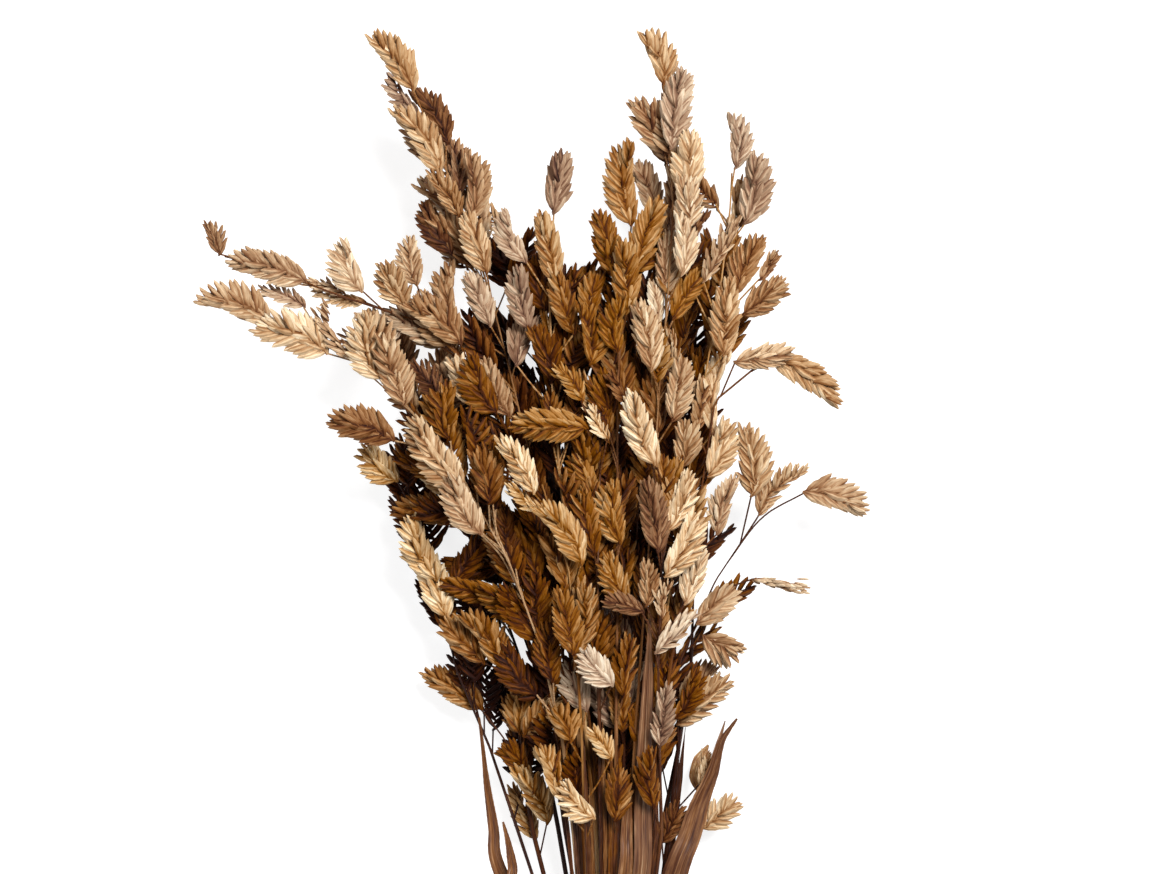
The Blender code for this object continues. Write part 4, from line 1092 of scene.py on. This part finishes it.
def culm_finish():
    made, tree, shader = start_material("culm")
    tint = read_tint(tree)
    uv, place = read_uv(tree)
    ribs = stretched_noise(tree, uv, tint[2], 22.0, 5.0, 2.0)
    patches = stretched_noise(tree, uv, tint[2], 1.4, 16.0, 3.0)
    tone = math_node(tree, "ADD", tint[0],
                     math_node(tree, "MULTIPLY", math_node(tree, "SUBTRACT", ribs, 0.5), 0.5))
    tone = math_node(tree, "ADD", tone,
                     math_node(tree, "MULTIPLY", math_node(tree, "SUBTRACT", patches, 0.5), 0.7),
                     clamp=True)
    tree.links.new(dry_color(tree, tone, tint[1]), shader.inputs["Base Color"])
    bump = add_node(tree, "ShaderNodeBump", Strength=0.6, Distance=0.0004, Height=ribs)
    tree.links.new(bump.outputs[0], shader.inputs["Normal"])
    shader.inputs["Roughness"].default_value = 0.5
    shader.inputs["Specular IOR Level"].default_value = 0.2
    return made


def blade_finish():
    made, tree, shader = start_material("leaf blade")
    tint = read_tint(tree)
    uv, place = read_uv(tree)
    veins = stretched_noise(tree, uv, tint[2], 16.0, 2.2, 3.0)
    patches = stretched_noise(tree, uv, tint[2], 3.0, 7.0, 3.0)
    # Painted highlight: the blade is painted paler along its middle crease
    fold = step_node(tree, math_node(tree, "ABSOLUTE", math_node(tree, "SUBTRACT", place[0], 0.5)),
                     0.07, 0.0)
    tone = math_node(tree, "ADD", tint[0],
                     math_node(tree, "MULTIPLY", math_node(tree, "SUBTRACT", veins, 0.5), 0.8))
    tone = math_node(tree, "ADD", tone,
                     math_node(tree, "MULTIPLY", math_node(tree, "SUBTRACT", patches, 0.5), 0.7))
    tone = math_node(tree, "ADD", tone, math_node(tree, "MULTIPLY", fold, 0.14), clamp=True)
    tree.links.new(dry_color(tree, tone, tint[1]), shader.inputs["Base Color"])
    bump = add_node(tree, "ShaderNodeBump", Strength=0.6, Distance=0.0004, Height=veins)
    tree.links.new(bump.outputs[0], shader.inputs["Normal"])
    shader.inputs["Roughness"].default_value = 0.42
    shader.inputs["Specular IOR Level"].default_value = 0.4
    return made


def twine_finish():
    made, tree, shader = start_material("twine")
    tint = read_tint(tree)
    uv, place = read_uv(tree)
    fibres = stretched_noise(tree, uv, tint[2], 14.0, 60.0, 3.0)
    color = ramp_node(tree, fibres, ((0.25, (0.20, 0.12, 0.06)), (0.5, (0.50, 0.36, 0.21)),
                                     (0.75, (0.72, 0.58, 0.40))))
    tree.links.new(color, shader.inputs["Base Color"])
    bump = add_node(tree, "ShaderNodeBump", Strength=0.8, Distance=0.0003, Height=fibres)
    tree.links.new(bump.outputs[0], shader.inputs["Normal"])
    shader.inputs["Roughness"].default_value = 0.85
    shader.inputs["Specular IOR Level"].default_value = 0.2
    return made


husks = [model_husk("husk_plain", 0.0, 1.0), model_husk("husk_flared", 0.06, 0.9),
         model_husk("husk_plump", -0.03, 1.15)]
culm_tube = model_tube("culm_straight", CULM_FINE_SIDES, CULM_RINGS, 0.07)
stalk_tube = model_tube("stalk_straight", STALK_SIDES, STALK_RINGS, 0.0)
strand_tube = model_tube("strand_straight", STRAND_SIDES, STRAND_RINGS, 0.0)
fray_tube = model_tube("fray_straight", 5, STALK_RINGS, 0.0)
deselect()
bpy.ops.mesh.primitive_circle_add(vertices=CULM_FINE_SIDES, radius=1.0, fill_type="NGON")
disc = name_it("cut_end")
lay_uv(disc, lambda co: (co.x, co.y))
cut_disc = ready_to_copy(disc)
blade_strip = model_blade("blade_straight")
husk_skin = husk_finish()
culm_skin = culm_finish()
blade_skin = blade_finish()
twine_skin = twine_finish()

# Culms of every stem first, so that the spikelets can be set clear of them
placed = []
stems = []
for name, row, slot_x, rise, marks, specs in STEMS:
    stems.append((name, row, slot_x, rise, marks, list(specs)))
for name, row, slot_x, rise, marks in UNDER_STEMS:
    stems.append((name, row, slot_x, rise, marks, None))
culms = {}
for name, row, slot_x, rise, marks, specs in stems:
    cut_y = CUT_Y - rng.uniform(0.0, CUT_UNEVEN)
    along, path, radii = culm_parts(stem_route(row, slot_x, rise, marks, cut_y))
    culms[name] = (along, path, radii)
    shell = tube(path, [r + SPARE for r in radii], CULM_SIDES)
    placed.append((name, tree_of(*shell)))
leaf_routes = {}
for name, row, slot_x, blade in LEAVES:
    marks = [(x, y) for x, y, w in blade]
    leaf_routes[name] = stem_route(row, slot_x, 0.0, marks, LEAF_CUT_Y)
    placed.append((name, tree_of(*leaf_loft(leaf_routes[name], blade, SPARE))))
knot_x = rng.uniform(*KNOT_X)

# Spikelets: the two that carry the head first, then the listed ones, then the rest
heads = {name: [] for name, row, slot_x, rise, marks, specs in stems}
attached = {name: [] for name in heads}
for name, spec in REST_SPIKELETS:
    heads[name].append(place_spikelet(name, culms[name][0], spec, placed,
                                      attached[name], True))
for name, row, slot_x, rise, marks, specs in stems:
    for spec in specs if specs is not None else ():
        heads[name].append(place_spikelet(name, culms[name][0], spec, placed,
                                          attached[name], False))
for name, row, slot_x, rise, marks, specs in stems:
    if specs is None:
        for spec in under_specs(name, culms[name][0]):
            heads[name].append(place_spikelet(name, culms[name][0], spec, placed,
                                              attached[name], False))

def culm_size(route, path, scale):
    """Radius of the culm by its share of length: slender at the tip, swollen at the knot."""
    knot_y = path[2].y

    def size_at(share):
        point = route[min(len(route) - 1, round(share * (len(route) - 1)))]
        grown = min(1.0, max(0.0, (point.y - TAPER_FROM_Y) / THIN_OVER))
        radius = (CULM_RADIUS + (THIN_RADIUS - CULM_RADIUS) * grown) * scale
        swell = math.exp(-((point.y - knot_y) / 2.4) ** 2)
        sheath = 0.14 if 0.0 < point.y - knot_y < 70.0 else 0.0
        radius += 0.42 * swell + sheath
        return radius, radius
    return size_at


def add_sheath(work, along, start_y, end_y, aside, width, tint):
    """Narrow dry leaf sheath that runs beside a culm and ends in a point."""
    route = [p + Vector((aside, 0.0, draw.uniform(0.9, 1.4))) for p in along
             if start_y < p.y < end_y]
    frayed = draw.uniform(0.55, 0.75)

    def size_at(share):
        full = min(1.0, 0.35 + share * 4.0) if share < frayed else (1.0 - share) / (1.0 - frayed)
        half = max(0.12, width * 0.5 * full)
        return half, min(0.8, half * 0.55)
    add_bent(work, blade_strip, BLADE_ROWS, route, size_at, tint)


def seen_cover(found):
    """What a spikelet covers from above: its ends and the half width that shows."""
    stalk, base, tip, angle, width, stations = found
    shown = 0.42 * width * (0.35 + 0.65 * abs(math.cos(angle)))
    return base.xy, tip.xy, shown


def covers(cover, point):
    base, tip, half = cover
    along = tip - base
    share = min(1.0, max(0.0, (point - base).dot(along) / along.length_squared))
    return (base + along * share - point).length < half


def fill_spec(point, route, lifts):
    """A spikelet over this point that grows from this stem, or None if it is out of reach."""
    behind = [p for p in route if p.y > 84.0 and 14.0 < (point - p.xy).length < 34.0
              and p.y < point.y]
    if not behind:
        return None
    root = min(behind, key=lambda p: abs((point - p.xy).length - 22.0))
    heading = (point - root.xy).normalized()
    length = draw.uniform(*FILL_LENGTH)
    middle = point + Vector((draw.uniform(-2.5, 2.5), draw.uniform(-2.5, 2.5)))
    start = middle - heading * (length * 0.5)
    end = middle + heading * (length * 0.5)
    return (start.x, start.y, end.x, end.y, draw.uniform(*FILL_WIDTH),
            draw.uniform(*lifts), draw.uniform(-35.0, 35.0))


def inside_mass(x, y):
    """Whether a tip here stays inside a dense part and clear of its openings."""
    if any(math.hypot(x - gx, y - gy) < radius * 0.7 for gx, gy, radius in OPENINGS):
        return False
    for part in (MASS, LEFT_SPRAY, RIGHT_SPRAY, LEFT_ARM):
        if part[0][0] <= y <= part[-1][0] + CELL:
            left = table_value([(m[0], m[1]) for m in part], y)
            right = table_value([(m[0], m[2]) for m in part], y)
            if left < x < right:
                return True
    return False


def shuts_opening(spec):
    ends = Vector(spec[0:2]), Vector(spec[2:4])
    return any(covers((*ends, radius * OPENING_CLEAR), Vector((x, y))) for x, y, radius in OPENINGS)


def open_cells():
    cells = []
    for part in (MASS, LEFT_SPRAY, RIGHT_SPRAY, LEFT_ARM):
        y = part[0][0]
        while y < part[-1][0]:
            left = table_value([(m[0], m[1]) for m in part], y)
            right = table_value([(m[0], m[2]) for m in part], y)
            for k in range(int((right - left) / CELL)):
                cell = Vector((left + (k + 0.5) * CELL, y))
                if all((cell - Vector((gx, gy))).length > radius for gx, gy, radius in OPENINGS):
                    cells.append(cell)
            y += CELL
    return cells


def fill_heads():
    """Spikelets set one by one over what is still open inside the mass."""
    del TRIES[FILL_TRIES:]
    covered = [seen_cover(f) for found in heads.values() for f in found if f is not None]
    cells = open_cells()
    for layer in range(1, FILL_LAYERS + 1):
        draw.shuffle(cells)
        for cell in cells:
            if sum(covers(c, cell) for c in covered) >= layer:
                continue
            near = sorted(culms, key=lambda n: min((cell - p.xy).length for p in culms[n][0])
                          + draw.uniform(0.0, 6.0))
            for name in near[:4]:
                if min((cell - p.xy).length for p in culms[name][0]) > FILL_REACH:
                    continue
                spec = fill_spec(cell, culms[name][0], FILL_LIFTS[layer - 1])
                if spec is None or not inside_mass(spec[2], spec[3]) or shuts_opening(spec):
                    continue
                found = place_spikelet(name, culms[name][0], spec, placed, attached[name], False)
                if found is not None:
                    heads[name].append(found)
                    covered.append(seen_cover(found))
                    break


hand_set = {name: len(found) if name in TONES else 0 for name, found in heads.items()}
fill_heads()


def seen_from_above(base, tip):
    """Whether few of the other spikelets lie over this one."""
    middle = (base + tip) * 0.5
    over = 0
    for found in (f for heap in heads.values() for f in heap if f is not None):
        if (found[1].z + found[2].z) * 0.5 > middle.z + 2.0 and covers(seen_cover(found), middle.xy):
            over += 1
    return over == 0


def tone_and_hue(name, k, base):
    """Tone by the letter of the spikelet's stem; the rest get painted shade, darker the deeper they sit, and
    are paler towards the right.
    """
    letters = TONES.get(name, "")
    if 0 <= k < len(letters):
        letter = letters[k]
        low, high = (0.0, 0.25) if name in WARM else (0.35, 0.65)
        hue = draw.uniform(0.85, 1.0) if letter.isupper() else draw.uniform(low, high)
        return TONE_OF_LETTER[letter.lower()] + draw.gauss(0.0, 0.02), hue
    # Painted shade: a filled-in spikelet is painted darker the deeper it sits, and paler towards the right
    tone = 0.22 + 0.004 * max(0.0, base.x) + 0.006 * (base.z - 40.0)
    # The sprays and the left arm get no painted shade
    if base.y > 325.0 or base.x < -50.0 and base.y > 262.0:
        return draw.uniform(0.45, 0.6), draw.uniform(0.4, 0.7)
    return tone + draw.gauss(0.0, 0.06), draw.uniform(0.0, 0.3)


def add_cut_end(work, end, radius, seed):
    """Pale rim of a culm where it was cut off, and a near-black disc in it as painted shade for its hollow.
    """
    for share, tone, ahead in ((1.0, CUT_RIM_TONE, 0.03), (CUT_HOLLOW_SHARE, CUT_HOLLOW_SHADE_TONE, 0.06)):
        size = radius * share * MM
        place = Matrix(((size, 0.0, 0.0, end.x * MM), (0.0, 0.0, -size, (end.y - ahead) * MM),
                        (0.0, size, 0.0, end.z * MM), (0.0, 0.0, 0.0, 1.0)))
        add_copy(work, cut_disc, place, (tone, 0.4, seed))


stem_pieces = []
for name, row, slot_x, rise, marks, specs in stems:
    along, path, radii = culms[name]
    work = bmesh.new()
    # Painted shade: the lower the culm lies in the bunch, the darker its tone is painted
    depth = min(1.0, max(0.2, (along[len(along) // 2].z - CULM_SHADE_FULL_Z) / CULM_SHADE_FADE_OVER))
    tint = (draw.choice(CULM_TONES) * depth, draw.uniform(0.0, 0.5), draw.random())
    scale = SLIM.get(name, draw.uniform(0.62, 0.92))
    add_bent(work, culm_tube, CULM_RINGS, along, culm_size(along, path, scale), tint)
    add_cut_end(work, along[0], CULM_RADIUS * scale, draw.random())
    for found in heads[name]:
        if found is not None:
            stalk, base, tip, angle, width, stations = found
            route = smooth_route(stalk, 4) if len(stalk) > 2 else stalk
            add_bent(work, stalk_tube, STALK_RINGS, route, lambda share: (0.38, 0.38), tint)
    husk_start = len(work.faces)
    first = len([n for n, spec in REST_SPIKELETS if n == name])
    for k, found in enumerate(heads[name]):
        if found is not None:
            stalk, base, tip, angle, width, stations = found
            full = k < hand_set[name] or seen_from_above(base, tip)
            add_spikelet(work, base, tip, angle, width, *tone_and_hue(name, k - first, base),
                         full, OPEN_UP.get(name, 1.0))
    set_material(work, husk_start, 1)
    sheath_start = len(work.faces)
    # The sheaths get the same painted shade as their culm
    for k in range(SHEATHS if row < 4 else 0):
        end_y = draw.uniform(104.0, 160.0)
        add_sheath(work, along, end_y - draw.uniform(60.0, 95.0), end_y,
                   draw.uniform(-2.2, 2.2), draw.uniform(1.2, 2.4),
                   (draw.uniform(0.14, 0.5) * depth, draw.uniform(0.1, 0.5), draw.random()))
    set_material(work, sheath_start, 2)
    piece = new_piece(name + "_fine", work, (culm_skin, husk_skin, blade_skin))
    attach(piece, "root")
    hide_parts(name)
    stem_pieces.append(piece)

# Torn strips on a leaf: tone, hue and x, y, z, width along each
LEAF_SCRAPS = {
    "leaf_right": ((0.36, 0.6, ((43.6, 121.0, 8.6, 2.6), (46.4, 130.0, 5.6, 1.8), (49.2, 139.0, 2.2, 0.4))),
                   (0.56, 0.1, ((38.6, 110.0, 10.6, 1.0), (36.8, 116.0, 10.4, 4.6), (38.4, 123.0, 9.6, 4.6),
                                (42.2, 129.4, 7.4, 0.8)))),
    "leaf_centre": ((0.66, 0.9, ((14.6, 96.0, 8.2, 0.7), (16.0, 128.0, 8.0, 1.3), (17.0, 158.0, 7.0, 0.4))),)}

for name, row, slot_x, blade in LEAVES:
    route = smooth_route(leaf_routes[name], 8)
    work = bmesh.new()
    tint = (draw.uniform(0.26, 0.38), draw.uniform(0.2, 0.6), draw.random())
    below = [p for p in route if p.y < 74.0]
    above = [p for p in route if p.y > 46.0]
    add_bent(work, culm_tube, CULM_RINGS, below, lambda share: (LEAF_CULM_RADIUS, LEAF_CULM_RADIUS),
             tint)
    add_cut_end(work, route[0], LEAF_CULM_RADIUS, draw.random())
    widths = [(y, w) for x, y, w in blade]

    def blade_size(share):
        y = above[min(len(above) - 1, round(share * (len(above) - 1)))].y
        if y < widths[0][0]:
            opening = ease((y - 46.0) / (widths[0][0] - 46.0))
            return 1.3 + (widths[0][1] * 0.5 - 1.3) * opening, 0.6 + 0.6 * opening
        for (y0, w0), (y1, w1) in zip(widths, widths[1:]):
            if y <= y1:
                half = (w0 + (w1 - w0) * (y - y0) / (y1 - y0)) * 0.5
                return half, min(1.2, half * 0.5)
        return widths[-1][1] * 0.5, 0.3
    add_bent(work, blade_strip, BLADE_ROWS, above, blade_size, tint)
    for tone, hue, scrap in LEAF_SCRAPS.get(name, ()):
        scrap_route = smooth_route([Vector(s[:3]) for s in scrap], 6)
        half = [(k / (len(scrap) - 1), s[3] * 0.5) for k, s in enumerate(scrap)]
        add_bent(work, blade_strip, BLADE_ROWS, scrap_route,
                 lambda share: (table_value(half, share), 0.4), (tone, hue, draw.random()))
    piece = new_piece(name + "_fine", work, (blade_skin,))
    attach(piece, "root")
    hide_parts(name)

# Near-black blades deep inside the bunch, seen only through the gaps between the spikelets: painted shade
# that darkens the deep gaps
INSIDE_COUNT = 18
INSIDE_START = (62.0, -15.0, 12.0)
INSIDE_Z = 13.0
work = bmesh.new()
for k in range(INSIDE_COUNT):
    share = (k + 0.5) / INSIDE_COUNT
    y, left, right = INSIDE_START
    route = [Vector((left + (right - left) * share, y, INSIDE_Z))]
    for y, left, right in MASS:
        spot = Vector((left + (right - left) * share, y, INSIDE_Z + draw.uniform(-2.0, 2.0)))
        if any((spot.xy - Vector((gx, gy))).length < gap + 4.0 for gx, gy, gap in OPENINGS):
            break
        route.append(spot)
    if len(route) < 3:
        continue
    width = draw.uniform(1.8, 3.0)
    add_bent(work, blade_strip, BLADE_ROWS, smooth_route(route, 6),
             lambda share: (max(0.2, width * min(1.0, (1.0 - share) * 6.0)), 0.5),
             # Near-black tone: painted shade
             (draw.uniform(0.05, 0.16), 0.2, draw.random()))
piece = new_piece("shade_blades_inside", work, (blade_skin,))
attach(piece, "root")

# Twine: turns of two twisted strands, pressed flat on the table
TWINE_RADIUS = 1.0
STRAND_RADIUS = 0.56
STRAND_OFFSET = 0.44
TWIST_LENGTH = 5.2
work = bmesh.new()
ring_radius = TIE_INNER + TWINE_RADIUS
for turn in range(TURNS):
    for strand in (0.0, math.pi):
        route = []
        for k in range(STRAND_RINGS * 2 + 1):
            share = k / (STRAND_RINGS * 2)
            angle = math.pi / 2 + 2.0 * math.pi * share
            middle = Vector((math.cos(angle) * ring_radius,
                             (turn - (TURNS - 1) / 2) * TURN_WIDTH,
                             max(TIE_Z + math.sin(angle) * ring_radius, TWINE_RADIUS)))
            out = Vector((math.cos(angle), 0.0, math.sin(angle)))
            spin = strand + turn + 2.0 * math.pi * share * round(2 * math.pi * ring_radius / TWIST_LENGTH)
            route.append(middle + (out * math.cos(spin) + Vector((0, 1, 0)) * math.sin(spin))
                         * STRAND_OFFSET)
        add_bent(work, strand_tube, STRAND_RINGS, route,
                 lambda share: (STRAND_RADIUS, STRAND_RADIUS), (0.5, 0.0, draw.random()))


def add_twine(route, turns):
    """Two strands twisted along a route."""
    frames = route_frames(route, STRAND_RINGS)
    for strand in (0.0, math.pi):
        twisted = []
        for k, (point, side, normal) in enumerate(frames):
            spin = strand + 2.0 * math.pi * turns * k / STRAND_RINGS
            twisted.append(point + (side * math.cos(spin) + normal * math.sin(spin))
                           * STRAND_OFFSET)
        add_bent(work, strand_tube, STRAND_RINGS, twisted,
                 lambda share: (STRAND_RADIUS, STRAND_RADIUS), (0.5, 0.0, draw.random()))


# Knot on top: a strap over the turns, a loop across it and two frayed ends
STRAP_HALF = TURNS * TURN_WIDTH / 2 + 0.6
STRAP_RISE = 1.8
LOOP_SIZE = (3.0, 1.9)
LOOP_STEPS = 48
END_FIBRES = 7
top = Vector((knot_x, 0.0, TIE_Z + ring_radius))
around = [2.0 * math.pi * k / LOOP_STEPS for k in range(LOOP_STEPS + 1)]
add_twine([top + Vector((0.8 * math.sin(a), STRAP_HALF * math.sin(a), STRAP_RISE * math.cos(a)))
           for a in around], 5)
add_twine([top + Vector((LOOP_SIZE[0] * math.cos(a), LOOP_SIZE[1] * math.sin(a),
                         STRAP_RISE + 0.9 + 0.5 * math.sin(2.0 * a))) for a in around], 4)
for aim_y in (-1.0, 1.0):
    loose = smooth_route([top + Vector((1.0, aim_y, 2.4)), top + Vector((4.0, 5.0 * aim_y, 2.6)),
                          top + Vector((6.5, 10.0 * aim_y, 0.2)),
                          top + Vector((7.5, 15.0 * aim_y, -1.2))], 8)
    add_twine(loose, 4)
    for k in range(END_FIBRES):
        spread = Vector((draw.uniform(-1.6, 1.6), aim_y * draw.uniform(2.5, 4.5),
                         draw.uniform(-0.6, 1.0)))
        fibre = smooth_route([loose[-1], loose[-1] + spread * 0.5 + Vector((0.0, 0.0, 0.2)),
                              loose[-1] + spread], 6)
        add_bent(work, fray_tube, STALK_RINGS, fibre, lambda share: (0.16, 0.16),
                 (0.55, 0.0, draw.random()))
piece = new_piece("tie_fine", work, (twine_skin,))
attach(piece, "root")
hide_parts("tie")

# Floor, light and camera
VIEW_X = -8.4
VIEW_Y = 254.8
VIEW_WIDTH = 467.2
VIEW_PLANE_Z = 42.0
LENS = 150.0
SENSOR = 36.0

deselect()
bpy.ops.mesh.primitive_plane_add(size=12.0, location=(0.0, 0.2, min(0.0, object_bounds()[0].z)))
floor = name_it("floor")
made, tree, shader = start_material("floor")
shader.inputs["Base Color"].default_value = (0.35, 0.35, 0.352, 1.0)
shader.inputs["Roughness"].default_value = 0.9
shader.inputs["Emission Color"].default_value = (1.0, 1.0, 1.0, 1.0)
shader.inputs["Emission Strength"].default_value = 0.82
floor.data.materials.append(made)

world = bpy.data.worlds.new("studio")
world.use_nodes = True
world.node_tree.nodes["Background"].inputs[0].default_value = (1.0, 1.0, 1.0, 1.0)
world.node_tree.nodes["Background"].inputs[1].default_value = 0.16
bpy.context.scene.world = world
bpy.context.scene.view_settings.view_transform = "Standard"


def add_lamp(name, place, size, power):
    bpy.ops.object.light_add(type="AREA", location=place)
    lamp = bpy.context.object
    lamp.name = name
    lamp.data.size = size
    lamp.data.energy = power
    aim = Vector((0.0, 0.22, 0.03)) - Vector(place)
    lamp.rotation_mode = "QUATERNION"
    lamp.rotation_quaternion = aim.to_track_quat("-Z", "Y")


add_lamp("key", (0.5, 0.8, 1.7), 0.6, 56.0)
add_lamp("fill", (-1.2, -0.1, 1.4), 1.4, 10.0)

bpy.ops.object.camera_add(location=(VIEW_X * MM, VIEW_Y * MM,
                                    (VIEW_PLANE_Z + VIEW_WIDTH * LENS / SENSOR) * MM))
camera = bpy.context.object
camera.name = "camera"
camera.data.lens = LENS
camera.data.sensor_width = SENSOR
camera.data.clip_end = 20.0
bpy.context.scene.camera = camera
